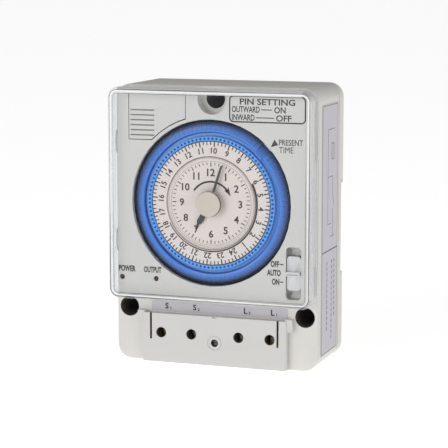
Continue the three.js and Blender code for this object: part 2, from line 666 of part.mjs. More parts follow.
function handOutline(angle, points) {
  const turnedPoints = points.map(([along, across]) => new THREE.Vector2(
    along * Math.cos(angle) - across * Math.sin(angle),
    along * Math.sin(angle) + across * Math.cos(angle),
  ));
  return new THREE.Shape(turnedPoints);
}

function minuteHand() {
  const outline = handOutline(MINUTE_ANGLE, [[0, -0.5], [15, -0.4], [15.3, 0], [15, 0.4], [0, 0.5]]);
  const bar = plate(outline, -39, -38.6);
  return joined(rod(2.2, -39, -38.6, 0, 0, 24), bar).subtract(rod(0.9, -40, -38, 0, 0, 16));
}

function hourHand() {
  const outline = handOutline(HOUR_ANGLE, [
    [0, -0.95], [8.4, -1.1], [9.4, -0.45], [11.6, -0.15], [11.6, 0.15], [9.4, 0.45], [8.4, 1.1], [0, 0.95],
  ]);
  const arm = plate(outline, -38.3, -37.9);
  return joined(rod(2.9, -38.3, -37.9, 0, 0, 24), arm).subtract(rod(1.9, -40, -37, 0, 0, 20));
}

function setKnob() {
  return turned([
    [0, -40.9], [3.9, -40.9], [4.3, -40.6], [4.5, -39.6], [4.6, -39.3], [0.9, -39.3], [0.9, -40], [0, -40],
  ], ROUND);
}

// ---------- electrical pieces ----------
function circuitBoard() {
  const outline = new THREE.Shape([
    [-29.5, 6], [29.5, 6], [29.5, 27], [37.5, 27], [37.5, 34.6], [-37.5, 34.6], [-37.5, 27], [-29.5, 27],
  ].map(([x, z]) => new THREE.Vector2(x, z)));
  return plate(outline, -11.6, -10);
}

function led(x) {
  const dome = turned([[0, -37.5], [0.6, -37.35], [0.88, -36.9], [0.88, -31], [0, -31]], 16);
  const legs = [-0.45, 0.45].map((dz) => box(-0.2, 0.2, -31.2, -11.9, dz - 0.2, dz + 0.2));
  return joined(dome, ...legs).translate([x, 0, LED_Z]);
}

function relay() {
  return plate(roundedOutline(-27, -8.5, 21.6, 31, 0.8), -27.5, -12);
}

function filmCapacitor() {
  return plate(roundedOutline(3, 21.5, 22, 30.8, 1.6), -24, -12);
}

function microSwitch() {
  const body = box(-35.3, -24.3, -35.6, -30, 29, 35.3);
  return joined(body, box(-28.2, -26.6, -33.8, -32, 35, 36.1));
}

function tripLever() {
  const arm = new THREE.Shape([
    [-33.9, 46.4], [-26.4, 37.6], [-24.7, 37.6], [-22.7, 40.1], [-23.6, 40.9], [-25.3, 39.4], [-32.3, 47.8],
  ].map(([x, z]) => new THREE.Vector2(x, z)));
  const pivot = { x: -33.1, z: 47.1 };
  return joined(plate(arm, -35.5, -34), rod(1.5, -35.5, -34, pivot.x, pivot.z))
    .subtract(rod(0.7, -37, -33, pivot.x, pivot.z, 12));
}

function modeSwitchBody() {
  const body = box(SWITCH.x - 3.7, SWITCH.x + 3.7, -34.2, -28, 28.8, 47.2);
  return body.subtract(box(SWITCH.x - 1.2, SWITCH.x + 1.2, -35, -30, 32.2, 43.8));
}

function modeKnob() {
  const half = SWITCH.halfW - 0.25;
  const low = SWITCH.z - 6.5;
  const high = SWITCH.z + 6.5;
  const cap = plate(roundedOutline(SWITCH.x - half, SWITCH.x + half, low, high, 1.3), -37.5, -34.9);
  const ridge = box(SWITCH.x - half, SWITCH.x + half, -39.4, -37, SWITCH.z - 0.8, SWITCH.z + 0.8);
  const stem = box(SWITCH.x - 1, SWITCH.x + 1, -35.5, -31, SWITCH.z - 2.2, SWITCH.z + 2.2);
  return joined(cap, ridge, stem);
}

// ---------- assembly ----------
add("front_housing", frontHousing(), CASE_GREY);
add("rear_cover", rearCover(), CASE_GREY);
SCREW_SPOTS.forEach(([x, z], i) => add(`case_screw_${i + 1}`, caseScrew(x, z), STEEL));
add("clear_cover", clearCover(), CLEAR);
["hinge_pin_lower", "hinge_pin_upper"].forEach((name, i) => {
  const [low, high] = HINGE_EARS[i];
  add(name, post(HINGE_PIN_R, low - 1.2, high + 1.2, HINGE_X, HINGE_Y, 10), STEEL);
});
add("battery_door", batteryDoor(), CASE_GREY);
add("battery_holder", batteryHolder(), LIGHT_GREY);
add("backup_cell", backupCell(), CELL_GREEN);
add("cell_contact_plus", box(CELL.right - 0.1, CELL.right + 0.8, -27, -18.2, 92, 96.5), STEEL);
add("cell_contact_minus", box(CELL.left - 0.9, CELL.left - 0.1, -29, -18.5, 91, 99), STEEL);

add("terminal_cover", terminalCover(), LIGHT_GREY);
add("cover_screw", coverScrew(), STEEL);
add("terminal_block", terminalBlock(), BLACK);
TERMINAL_X.forEach((x, i) => add(`terminal_clamp_${i + 1}`, terminalClamp(x), BRASS));
TERMINAL_X.forEach((x, i) => add(`terminal_screw_${i + 1}`, terminalScrew(x), STEEL));
add("terminal_label", box(-26.3, 28.7, -33.58, CASE_FRONT - 0.03, 19.9, 23.5), LABEL);
add("side_label", box(CASE_W / 2 + 0.03, CASE_W / 2 + 0.18, -29.4, -8, 5, 100.3), LABEL);

add("din_clip", dinClip(), BLACK);
add("clip_spring", clipSpring(), STEEL);

add("circuit_board", circuitBoard(), BOARD_GREEN);
add("relay", relay(), BLACK);
add("film_capacitor", filmCapacitor(), CAP_RED);
add("power_led", led(LED_X[0]), LED_RED);
add("output_led", led(LED_X[1]), LED_RED);
add("micro_switch", microSwitch(), BLACK);
add("trip_lever", tripLever(), ACETAL);
add("mode_switch_body", modeSwitchBody(), BLACK);
add("mode_knob", modeKnob(), LIGHT_GREY);

add("movement_front_plate", movementFrontPlate(), ACETAL, movement);
add("movement_rear_plate", movementRearPlate(), ACETAL, movement);
add("motor", motorCase(), STEEL, movement);
add("motor_pinion", motorPinion(), ACETAL, movement).position.set(0, 0, -MOTOR_DISTANCE);
add("minute_arbor", minuteArbor(), BRASS, movement);
add("minute_hand", minuteHand(), INK, movement);
add("set_knob", setKnob(), KNOB_GREY, movement);
add("hour_wheel", hourWheel(), ACETAL, movement);
add("hour_hand", hourHand(), INK, movement);
add("motion_wheel", motionWheel(), ACETAL, movement).position.set(-GEAR_DISTANCE, 0, 0);
add("day_idler", dayIdler(), ACETAL, movement).position.set(GEAR_DISTANCE, 0, 0);
add("clock_face", clockFace(), DIAL_WHITE, movement);
add("day_dial", dayDial(), DIAL_WHITE, movement);
add("pin_carrier", pinCarrier(), DIAL_BLUE, movement);
add("pin_ring", pinRing(), DIAL_BLUE, movement);
for (let i = 0; i < LOOSE_PINS; i += 1) add(`time_pin_${i + 1}`, loosePin(i), DIAL_BLUE, movement);

export default timer;
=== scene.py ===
"""The looks of a mechanical 24-hour time switch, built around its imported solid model.

Everything is in metres in the row frame. Sizes in the classes are in millimetres in the bench frame, whose
origin is at the middle of the case, on its rear plane and its flat bottom; Bench turns one into the other.
"""

from __future__ import annotations

import json
import logging
from dataclasses import dataclass, field
from enum import Enum
from typing import Callable, Sequence

import bmesh
import bpy
import numpy as np
from mathutils import Matrix, Vector

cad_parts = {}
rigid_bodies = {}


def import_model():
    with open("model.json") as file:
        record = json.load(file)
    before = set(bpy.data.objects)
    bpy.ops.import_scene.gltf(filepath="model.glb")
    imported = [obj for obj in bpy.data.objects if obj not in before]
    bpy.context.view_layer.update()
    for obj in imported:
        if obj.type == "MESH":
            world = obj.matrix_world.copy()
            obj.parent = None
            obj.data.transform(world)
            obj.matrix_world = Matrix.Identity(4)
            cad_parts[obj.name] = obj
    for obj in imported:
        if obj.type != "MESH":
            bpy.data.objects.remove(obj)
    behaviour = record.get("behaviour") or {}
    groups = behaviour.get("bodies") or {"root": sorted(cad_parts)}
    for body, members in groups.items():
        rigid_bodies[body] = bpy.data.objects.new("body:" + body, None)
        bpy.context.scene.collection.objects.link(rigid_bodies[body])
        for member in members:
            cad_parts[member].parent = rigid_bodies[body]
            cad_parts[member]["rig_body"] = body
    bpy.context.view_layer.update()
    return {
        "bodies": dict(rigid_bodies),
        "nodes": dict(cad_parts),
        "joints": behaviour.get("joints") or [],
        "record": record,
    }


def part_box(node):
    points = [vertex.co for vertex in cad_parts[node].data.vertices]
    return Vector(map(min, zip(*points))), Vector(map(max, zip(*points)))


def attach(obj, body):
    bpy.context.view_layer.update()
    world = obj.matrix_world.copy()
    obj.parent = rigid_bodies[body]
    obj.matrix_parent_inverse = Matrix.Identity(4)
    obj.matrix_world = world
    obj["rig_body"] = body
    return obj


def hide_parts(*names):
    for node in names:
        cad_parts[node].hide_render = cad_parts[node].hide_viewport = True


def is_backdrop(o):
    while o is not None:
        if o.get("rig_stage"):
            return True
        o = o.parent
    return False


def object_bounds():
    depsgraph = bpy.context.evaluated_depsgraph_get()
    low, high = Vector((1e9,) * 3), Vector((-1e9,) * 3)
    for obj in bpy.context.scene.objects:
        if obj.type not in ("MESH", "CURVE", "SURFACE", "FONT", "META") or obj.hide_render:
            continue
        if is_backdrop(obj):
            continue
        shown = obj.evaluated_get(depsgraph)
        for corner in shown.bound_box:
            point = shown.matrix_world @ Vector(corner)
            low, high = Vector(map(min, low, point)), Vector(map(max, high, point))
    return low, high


LOG = logging.getLogger("time_switch")
MM = 0.001
Colour = tuple[float, float, float]
RIGHT = (1.0, 0.0, 0.0)
BACK = (0.0, 1.0, 0.0)
UP = (0.0, 0.0, 1.0)
# How thick print stands on a surface, and how wide the rounding of sharp edges is, in mm.
PRINT_MM = 0.03
EDGE_MM = 0.18
HAND_EDGE_MM = 0.03
EDGE_SEGMENTS = 2
# Angles between faces, in degrees: rounded from, shown smooth below (new and CAD shapes), flat within.
ROUNDED_FROM = 40.0
SMOOTH_BELOW = 35.0
CAD_SMOOTH_BELOW = 32.0
FLAT_WITHIN = 0.6
# Points nearer than this are merged, in metres, on new and on CAD shapes.
SAME_POINT = 1e-7
SAME_CAD_POINT = 1e-6
# A face's normal has less than this share of the Y axis on the wall of a hole, and on a cover's wall.
HOLE_WALL_SHARE = 0.3
COVER_WALL_SHARE = 0.5


# ---------- shader toolkit ----------
def linear(red: int, green: int, blue: int) -> Colour:
    """A display colour of 0 to 255 per channel as scene-linear values, by the sRGB curve."""
    share = np.array([red, green, blue]) / 255
    curve = np.where(share <= 0.04045, share / 12.92, ((share + 0.055) / 1.055) ** 2.4)
    return tuple(float(value) for value in curve)


class Value:
    """A number socket in a material, on which Python's operators add Math nodes."""

    def __init__(self, graph: "Graph", socket: bpy.types.NodeSocket) -> None:
        """Wraps one output socket of a graph."""
        self.graph = graph
        self.socket = socket

    def _with(self, operation: str, first: object, second: object, clamp: bool = False) -> "Value":
        """The result of one Math node on two values or numbers."""
        settings = {"operation": operation, "use_clamp": clamp}
        return self.graph.add("ShaderNodeMath", settings, {0: first, 1: second})

    def __add__(self, other: object) -> "Value":
        """This plus other."""
        return self._with("ADD", self, other)

    def __radd__(self, other: object) -> "Value":
        """Other plus this."""
        return self._with("ADD", other, self)

    def __sub__(self, other: object) -> "Value":
        """This minus other."""
        return self._with("SUBTRACT", self, other)

    def __rsub__(self, other: object) -> "Value":
        """Other minus this."""
        return self._with("SUBTRACT", other, self)

    def __mul__(self, other: object) -> "Value":
        """This times other."""
        return self._with("MULTIPLY", self, other)

    def __rmul__(self, other: object) -> "Value":
        """Other times this."""
        return self._with("MULTIPLY", other, self)

    def __pow__(self, other: object) -> "Value":
        """This to the power of other."""
        return self._with("POWER", self, other)

    def clamped(self) -> "Value":
        """This, held between 0 and 1."""
        return self._with("ADD", self, 0.0, clamp=True)


class Graph:
    """The node tree of one material, with one way to add a node."""

    def __init__(self, name: str) -> None:
        """Makes an empty material."""
        self.material = bpy.data.materials.new(name)
        self.material.use_nodes = True
        self.tree = self.material.node_tree
        self.tree.nodes.clear()

    def add(self, kind: str, settings: dict, sockets: dict, output: object = 0) -> Value:
        """Adds a node: its settings first, then the values or links of its sockets.

        Args:
            kind: the node's type.
            settings: its properties, such as a Math node's operation.
            sockets: values or linked Values by input name or number.
            output: the name or number of the output that is returned.

        Returns:
            That output.
        """
        node = self.tree.nodes.new(kind)
        for key, value in settings.items():
            setattr(node, key, value)
        for key, value in sockets.items():
            if isinstance(value, Value):
                self.tree.links.new(value.socket, node.inputs[key])
            else:
                node.inputs[key].default_value = value
        return Value(self, node.outputs[output])

    def place(self) -> Value:
        """The place on the piece, in its own axes, in metres."""
        return self.add("ShaderNodeTexCoord", {}, {}, "Object")

    def noise(self, grain_mm: float, detail: float = 2.0) -> Value:
        """Noise from 0 to 1 whose features are about grain_mm across."""
        sockets = {"Vector": self.place(), "Scale": 1 / (grain_mm * MM), "Detail": detail}
        return self.add("ShaderNodeTexNoise", {}, sockets, "Fac")

    def attribute(self, name: str) -> Value:
        """A number kept at each point of the mesh."""
        return self.add("ShaderNodeAttribute", {"attribute_name": name}, {}, "Fac")

    def blend(self, share: object, first: object, second: object) -> Value:
        """A colour between two others.

        Args:
            share: how much of the second colour there is, 0 to 1.
            first: the first colour.
            second: the second colour.

        Returns:
            The mixed colour.
        """
        low, high = [(*c, 1.0) if isinstance(c, tuple) else c for c in (first, second)]
        return self.add("ShaderNodeMix", {"data_type": "RGBA"}, {0: share, 6: low, 7: high}, 2)

    def bump(self, height: Value, depth_mm: float) -> Value:
        """A surface normal whose relief is depth_mm deep."""
        return self.add("ShaderNodeBump", {}, {"Height": height, "Distance": depth_mm * MM, "Strength": 1.0})

    def finish(self, shader: Value) -> bpy.types.Material:
        """Links the shader to an output node and returns the material."""
        node = self.tree.nodes.new("ShaderNodeOutputMaterial")
        self.tree.links.new(shader.socket, node.inputs["Surface"])
        return self.material


# ---------- finishes ----------
@dataclass(frozen=True)
class Moulded:
    """Moulded or painted plastic with a fine texture, a slight mottle and uneven gloss."""

    colour: Colour
    roughness: float = 0.5
    grain_mm: float = 0.35
    relief_mm: float = 0.012
    mottle: float = 0.05
    coat: float = 0.0
    coat_roughness: float = 0.15
    cloud_mm: float = 9.0
    gloss_spread: float = 0.12

    def make(self, name: str) -> bpy.types.Material:
        """Builds the material."""
        graph = Graph(name)
        cloud = graph.noise(self.cloud_mm, 3.0)
        grain = graph.noise(self.grain_mm)
        darker = tuple(channel * (1 - 2 * self.mottle) for channel in self.colour)
        sockets = {
            "Base Color": graph.blend(cloud, self.colour, darker),
            "Roughness": (grain - 0.5) * self.gloss_spread + self.roughness,
            "Normal": graph.bump(grain, self.relief_mm),
            "Coat Weight": self.coat,
            "Coat Roughness": self.coat_roughness,
        }
        return graph.finish(graph.add("ShaderNodeBsdfPrincipled", {}, sockets))


@dataclass(frozen=True)
class Tinted:
    """Moulded plastic with painted shade: its colour runs from the lit colour to the deep, shaded one as the
    mesh's tint attribute says.
    """

    light: Colour
    deep: Colour
    roughness: float = 0.3
    grain_mm: float = 0.4
    relief_mm: float = 0.006
    streak: float = 0.06
    gloss_spread: float = 0.1
    coat: float = 0.15
    coat_roughness: float = 0.12

    def make(self, name: str) -> bpy.types.Material:
        """Builds the material."""
        graph = Graph(name)
        grain = graph.noise(self.grain_mm)
        share = (graph.attribute("tint") + (grain - 0.5) * self.streak).clamped()
        sockets = {
            "Base Color": graph.blend(share, self.light, self.deep),
            "Roughness": (grain - 0.5) * self.gloss_spread + self.roughness,
            "Normal": graph.bump(grain, self.relief_mm),
            "Coat Weight": self.coat,
            "Coat Roughness": self.coat_roughness,
        }
        return graph.finish(graph.add("ShaderNodeBsdfPrincipled", {}, sockets))


@dataclass(frozen=True)
class Metal:
    """Plated or turned metal with fine brush lines along one axis."""

    colour: Colour
    roughness: float = 0.3
    lines_per_metre: tuple[float, float, float] = (9000.0, 400.0, 9000.0)
    relief_mm: float = 0.004
    gloss_spread: float = 0.25
    cloud_mm: float = 3.0
    dulling: float = 0.75

    def make(self, name: str) -> bpy.types.Material:
        """Builds the material."""
        graph = Graph(name)
        stretch = {"Vector": graph.place(), "Scale": self.lines_per_metre}
        lines_at = graph.add("ShaderNodeMapping", {}, stretch)
        sockets = {"Vector": lines_at, "Scale": 1.0, "Detail": 2.0}
        lines = graph.add("ShaderNodeTexNoise", {}, sockets, "Fac")
        duller = tuple(channel * self.dulling for channel in self.colour)
        sockets = {
            "Base Color": graph.blend(graph.noise(self.cloud_mm), self.colour, duller),
            "Metallic": 1.0,
            "Roughness": (lines - 0.5) * self.gloss_spread + self.roughness,
            "Normal": graph.bump(lines, self.relief_mm),
        }
        return graph.finish(graph.add("ShaderNodeBsdfPrincipled", {}, sockets))


@dataclass(frozen=True)
class Clear:
    """Clear moulded plastic: nearly unseen face on, and brighter where the surface turns away."""

    colour: Colour
    face_on: float
    edge_on: float
    steepness: float = 3.0
    flow_mm: float = 14.0
    ripple_mm: float = 0.02
    gloss: float = 0.8
    through: Colour = (0.985, 0.99, 0.995)

    def make(self, name: str) -> bpy.types.Material:
        """Builds the material."""
        graph = Graph(name)
        turned_away = graph.add("ShaderNodeLayerWeight", {}, {"Blend": 0.5}, "Facing")
        share = (turned_away**self.steepness * self.edge_on + self.face_on).clamped()
        flow = graph.noise(self.flow_mm, 1.0)
        body = {
            "Base Color": (*self.colour, 1.0),
            "Roughness": flow * 0.05 + 0.04,
            "IOR": 1.5,
            "Specular IOR Level": self.gloss,
            "Normal": graph.bump(flow, self.ripple_mm),
        }
        solid = graph.add("ShaderNodeBsdfPrincipled", {}, body)
        window = graph.add("ShaderNodeBsdfTransparent", {}, {"Color": (*self.through, 1.0)})
        return graph.finish(graph.add("ShaderNodeMixShader", {}, {0: share, 1: window, 2: solid}))


@dataclass(frozen=True)
class Backdrop:
    """A plain, evenly bright floor that still takes a soft shadow."""

    colour: Colour
    glow: float

    def make(self, name: str) -> bpy.types.Material:
        """Builds the material."""
        graph = Graph(name)
        sockets = {
            "Base Color": (*self.colour, 1.0),
            "Roughness": 0.9,
            "Emission Color": (1.0, 1.0, 1.0, 1.0),
            "Emission Strength": self.glow,
        }
        return graph.finish(graph.add("ShaderNodeBsdfPrincipled", {}, sockets))


class Finish(Enum):
    """Every finish of the time switch."""

    CASE_GREY = Moulded(linear(222, 220, 215), roughness=0.48, relief_mm=0.010, mottle=0.012)
    LIGHT_GREY = Moulded(linear(213, 212, 209), roughness=0.45, relief_mm=0.008, mottle=0.012)
    # The slide knob's deep colour is painted shade on its sides.
    SLIDE_GREY = Tinted(linear(226, 225, 224), linear(62, 58, 56), roughness=0.34)
    # Painted shade in the battery door's grip grooves.
    GROOVE_GREY = Moulded(linear(150, 148, 144), roughness=0.55, relief_mm=0.002)
    RECESS_GREY = Moulded(linear(238, 237, 234), roughness=0.5, relief_mm=0.004, mottle=0.01)
    # The clock face's fine rings, and the painted shadow line across the slide knob's ridge.
    RING_GREY = Moulded(linear(150, 146, 142), roughness=0.5, relief_mm=0.002)
    # The setting knob's deep colour is painted shade on its side.
    KNOB_GREY = Tinted(linear(216, 205, 192), linear(52, 44, 40), roughness=0.35)
    DIAL_WHITE = Moulded(linear(238, 227, 220), roughness=0.5, relief_mm=0.001, mottle=0.012)
    LABEL_SILVER = Moulded(linear(197, 194, 200), roughness=0.42, grain_mm=0.2, relief_mm=0.002, mottle=0.015)
    INK = Moulded(linear(52, 48, 46), roughness=0.5, relief_mm=0.002)
    HAND_INK = Moulded(linear(46, 40, 38), roughness=0.32, relief_mm=0.003, coat=0.3)
    BLACK = Moulded(linear(38, 36, 35), roughness=0.42, relief_mm=0.008)
    BOARD_GREEN = Moulded(linear(38, 92, 52), roughness=0.35, grain_mm=0.9, relief_mm=0.02, coat=0.4)
    ACETAL = Moulded(linear(232, 226, 208), roughness=0.35, relief_mm=0.003)
    CAPACITOR_RED = Moulded(linear(142, 56, 40), roughness=0.25, grain_mm=1.4, relief_mm=0.03, coat=0.5)
    LED_RED = Moulded(linear(74, 20, 28), roughness=0.25, relief_mm=0.002, coat=0.3)
    # Painted shade inside the screw holes and slits.
    BORE = Moulded(linear(96, 90, 84), roughness=0.7, relief_mm=0.01)
    CELL_GREEN = Moulded(linear(58, 122, 76), roughness=0.28, relief_mm=0.004, coat=0.4)
    # The pins' lit colour is a painted highlight along their crests and their deep colour is painted shade;
    # the carrier's deep colour is painted shade in its dimples and on its shelf.
    PIN_BLUE = Tinted(linear(78, 142, 238), linear(12, 15, 40), roughness=0.34)
    BEAD_BLUE = Tinted(linear(88, 170, 255), linear(12, 34, 96), roughness=0.32)
    STEEL = Metal(linear(186, 187, 189), roughness=0.32)
    BRASS = Metal(linear(202, 164, 88), roughness=0.3)
    DULL_STEEL = Metal(linear(112, 110, 108), roughness=0.45)
    CLEAR = Clear(linear(236, 238, 242), face_on=0.012, edge_on=0.6)
    # A painted reflection on the clear cover's walls, and a painted dark reflection on its rounded rims.
    CLEAR_WALL = Clear(linear(250, 250, 252), face_on=0.2, edge_on=0.3)
    CLEAR_RIM = Clear(linear(84, 82, 92), face_on=0.5, edge_on=0.3)
    # Painted dark reflections, painted highlights and a painted pale band on the clear cover's edges.
    EDGE_DARK = Clear(linear(92, 88, 100), face_on=0.62, edge_on=0.3)
    EDGE_LIGHT = Clear(linear(255, 255, 255), face_on=0.85, edge_on=0.1)
    EDGE_PALE = Clear(linear(232, 232, 233), face_on=0.8, edge_on=0.1)
    FLOOR = Backdrop(linear(245, 245, 245), glow=0.62)

    @property
    def material(self) -> bpy.types.Material:
        """The finish's material, made once."""
        name = f"{self.name.lower()}_finish"
        return bpy.data.materials.get(name) or self.value.make(name)


FINISH_OF_SLOT = {
    "case_grey": Finish.CASE_GREY,
    "clear_plastic": Finish.CLEAR,
    "light_grey": Finish.LIGHT_GREY,
    "knob_grey": Finish.KNOB_GREY,
    "dial_blue": Finish.PIN_BLUE,
    "dial_white": Finish.DIAL_WHITE,
    "hand_ink": Finish.HAND_INK,
    "label_silver": Finish.LABEL_SILVER,
    "black_plastic": Finish.BLACK,
    "brass": Finish.BRASS,
    "steel": Finish.STEEL,
    "board_green": Finish.BOARD_GREEN,
    "acetal": Finish.ACETAL,
    "capacitor_red": Finish.CAPACITOR_RED,
    "led_red": Finish.LED_RED,
    "cell_green": Finish.CELL_GREEN,
}


# ---------- shapes ----------
@dataclass
class Shape:
    """Points and faces as whole arrays, with an amount of painted shade from 0 to 1 at each point."""

    points: np.ndarray
    faces: list[np.ndarray]
    tint: np.ndarray = field(default_factory=lambda: np.zeros(0))

    def __post_init__(self) -> None:
        """Gives every point no painted shade where none is given."""
        if len(self.tint) != len(self.points):
            self.tint = np.zeros(len(self.points))

    def placed(self, origin: Sequence[float], right: Sequence[float], up: Sequence[float]) -> "Shape":
        """This shape, drawn flat in its own x and y, laid on a surface.

        The place of a point is origin + x right + y up + z (right cross up).

        Args:
            origin: where the shape's own origin goes.
            right: the direction of its x axis.
            up: the direction of its y axis.

        Returns:
            The placed shape.
        """
        axes = np.array([right, up, np.cross(right, up)], float)
        return Shape(self.points @ axes + np.asarray(origin, float), self.faces, self.tint)


def joined(shapes: Sequence[Shape]) -> Shape:
    """Several shapes as one, with their faces renumbered."""
    starts = np.cumsum([0] + [len(shape.points) for shape in shapes])
    faces = [block + start for shape, start in zip(shapes, starts) for block in shape.faces]
    points = np.vstack([shape.points for shape in shapes])
    return Shape(points, faces, np.concatenate([shape.tint for shape in shapes]))


def grid_faces(rows: int, columns: int, wrap_rows: bool, wrap_columns: bool) -> np.ndarray:
    """Four-cornered faces between neighbours on a grid of points.

    A face joins (i, j), (i + 1, j), (i + 1, j + 1) and (i, j + 1), with i and j taken round where they wrap.

    Args:
        rows: points along the first direction.
        columns: points along the second.
        wrap_rows: whether the last row joins the first.
        wrap_columns: whether the last column joins the first.

    Returns:
        An array of four point numbers per face.
    """
    i, j = np.meshgrid(
        np.arange(rows if wrap_rows else rows - 1),
        np.arange(columns if wrap_columns else columns - 1),
        indexing="ij",
    )
    below, right = (i + 1) % rows, (j + 1) % columns
    corners = [i * columns + j, below * columns + j, below * columns + right, i * columns + right]
    return np.stack(corners, axis=-1).reshape(-1, 4)


def revolved(
    section: np.ndarray,
    start: float,
    end: float,
    steps: int,
    relief: Callable[[np.ndarray, np.ndarray, np.ndarray], np.ndarray] | None = None,
    tint: Callable[[np.ndarray, np.ndarray, np.ndarray], np.ndarray] | None = None,
) -> Shape:
    """A closed section of (radius, y) carried round the Y axis from one angle to another.

    The point for section point (r, y) at angle a is (r cos a, y + relief, r sin a). A full turn closes on
    itself; a shorter one gets a flat face at each end.

    Args:
        section: the outline as an array of radius and y, in mm.
        start: the first angle, in degrees.
        end: the last angle, in degrees.
        steps: the number of angular steps.
        relief: extra y at each radius, y and angle in radians.
        tint: the amount of painted shade at each radius, y and angle in radians.

    Returns:
        The closed shape, in mm about the axis.
    """
    whole = abs(end - start) >= 360
    count = steps if whole else steps + 1
    angles = np.radians(np.linspace(start, end, count, endpoint=not whole))
    a, r = np.meshgrid(angles, section[:, 0], indexing="ij")
    y = np.broadcast_to(section[:, 1], a.shape)
    lifted = y + relief(r, y, a) if relief else y
    points = np.stack([r * np.cos(a), lifted, r * np.sin(a)], axis=-1).reshape(-1, 3)
    faces = [grid_faces(len(angles), len(section), whole, True)]
    if not whole:
        first = np.arange(len(section))
        faces += [first[None, :], (first + (len(angles) - 1) * len(section))[None, ::-1]]
    shade = tint(r, y, a).reshape(-1) if tint else np.zeros(len(points))
    return Shape(points, faces, shade)


def slab(outline: np.ndarray, thickness: float) -> Shape:
    """A flat outline with thickness: one face at z = 0, one at z = thickness, and a wall between them."""
    count = len(outline)
    low = np.column_stack([outline, np.zeros(count)])
    high = np.column_stack([outline, np.full(count, thickness)])
    ring = np.arange(count)
    faces = [ring[None, ::-1], (ring + count)[None, :], grid_faces(2, count, False, True)]
    return Shape(np.vstack([low, high]), faces)


def strip(centre_line: np.ndarray, widths: np.ndarray, thickness: float, closed: bool = False) -> Shape:
    """A flat line of varying width along a path.

    Each side point is the path's point plus or minus half its width across the path's direction.

    Args:
        centre_line: the path as an array of x and y.
        widths: the full width at each point.
        thickness: how far the line stands up.
        closed: whether the path's end joins its start.

    Returns:
        The closed shape.
    """
    if closed:
        ahead = np.roll(centre_line, -1, axis=0) - np.roll(centre_line, 1, axis=0)
    else:
        ahead = np.gradient(centre_line, axis=0)
    ahead = ahead / np.linalg.norm(ahead, axis=1, keepdims=True)
    across = np.column_stack([-ahead[:, 1], ahead[:, 0]]) * (widths[:, None] / 2)
    sides = [centre_line + across, centre_line - across]
    section = [(sides[0], 0.0), (sides[0], thickness), (sides[1], thickness), (sides[1], 0.0)]
    loops = np.stack([np.column_stack([side, np.full(len(side), z)]) for side, z in section], axis=1)
    faces = [grid_faces(len(centre_line), len(section), closed, True)]
    if not closed:
        first = np.arange(len(section))
        faces += [first[None, :], (first + (len(centre_line) - 1) * len(section))[None, ::-1]]
    return Shape(loops.reshape(-1, 3), faces)


def line(start: Sequence[float], end: Sequence[float], width: float, thickness: float) -> Shape:
    """A straight flat line of even width."""
    return strip(np.array([start, end], float), np.full(2, width), thickness)


def arc_points(radius: float, start: float, end: float, steps: int) -> np.ndarray:
    """Points on a circle about the origin: radius times (cos, sin) of even angles in degrees."""
    angles = np.radians(np.linspace(start, end, steps + 1))
    return radius * np.column_stack([np.cos(angles), np.sin(angles)])


def rounded_loop(width: float, height: float, radius: float, steps: int = 6) -> np.ndarray:
    """A rectangle about the origin whose corners are quarter circles, joined by its straight sides."""
    reach = np.array([width / 2 - radius, height / 2 - radius])
    corners = [(1, 1, 0), (-1, 1, 90), (-1, -1, 180), (1, -1, 270)]
    arcs = [arc_points(radius, turn, turn + 90, steps) + reach * (x, y) for x, y, turn in corners]
    return np.vstack(arcs)


def spokes(
    angles: np.ndarray, inner: np.ndarray, outer: float, width: np.ndarray, thickness: float
) -> Shape:
    """Radial tick marks about the origin, one small box for each angle.

    A corner is radius times the spoke's direction plus or minus half its width across it.

    Args:
        angles: the directions, in degrees.
        inner: each tick's inner radius.
        outer: the outer radius of them all.
        width: each tick's width.
        thickness: how far the ticks stand up.

    Returns:
        The joined boxes.
    """
    along = np.column_stack([np.cos(np.radians(angles)), np.sin(np.radians(angles))])
    across = np.column_stack([-along[:, 1], along[:, 0]]) * (width[:, None] / 2)
    near, far = along * inner[:, None], along * outer
    flat = np.stack([near - across, far - across, far + across, near + across], axis=1)
    levels = [np.dstack([flat, np.full(flat.shape[:2], level)]) for level in (0.0, thickness)]
    points = np.concatenate(levels, axis=1)
    box = np.array([[3, 2, 1, 0], [4, 5, 6, 7], [0, 1, 5, 4], [1, 2, 6, 5], [2, 3, 7, 6], [3, 0, 4, 7]])
    faces = (box[None] + (np.arange(len(angles)) * 8)[:, None, None]).reshape(-1, 4)
    return Shape(points.reshape(-1, 3), [faces])


def lettering(
    words: str, height: float, thickness: float, width: float | None = None, bold: float = 0.0
) -> Shape:
    """Words as a thin solid, centred on the origin and scaled to a height and, if given, a width.

    Args:
        words: what it says.
        height: the height of the whole line, in mm.
        thickness: how far the letters stand up.
        width: the width of the whole line, or None to keep the letters' own.
        bold: how much each stroke is widened, as a share of the type size.

    Returns:
        The letters as triangles.
    """
    curve = bpy.data.curves.new("letters", "FONT")
    curve.body = words
    curve.extrude = 0.5
    curve.offset = bold
    curve.resolution_u = 3
    holder = bpy.data.objects.new("letters", curve)
    bpy.context.scene.collection.objects.link(holder)
    mesh = bpy.data.meshes.new_from_object(holder.evaluated_get(bpy.context.evaluated_depsgraph_get()))
    mesh.calc_loop_triangles()
    points = np.empty(len(mesh.vertices) * 3)
    mesh.vertices.foreach_get("co", points)
    triangles = np.empty(len(mesh.loop_triangles) * 3, np.int32)
    mesh.loop_triangles.foreach_get("vertices", triangles)
    bpy.data.objects.remove(holder)
    bpy.data.curves.remove(curve)
    bpy.data.meshes.remove(mesh)
    points = points.reshape(-1, 3)
    low, high = points.min(0), points.max(0)
    scale = height / (high[1] - low[1])
    across = width / (high[0] - low[0]) if width else scale
    scales = np.array([across, scale, thickness / (high[2] - low[2])])
    middle = np.array([(low[0] + high[0]) / 2, (low[1] + high[1]) / 2, low[2]])
    return Shape((points - middle) * scales, [triangles.reshape(-1, 3)])


# ---------- from shapes to pieces ----------
@dataclass(frozen=True)
class Trim:
    """A second finish on the faces of a CAD node that a test on their corners and normal picks."""

    finish: Finish
    picks: Callable[[np.ndarray, np.ndarray], bool]


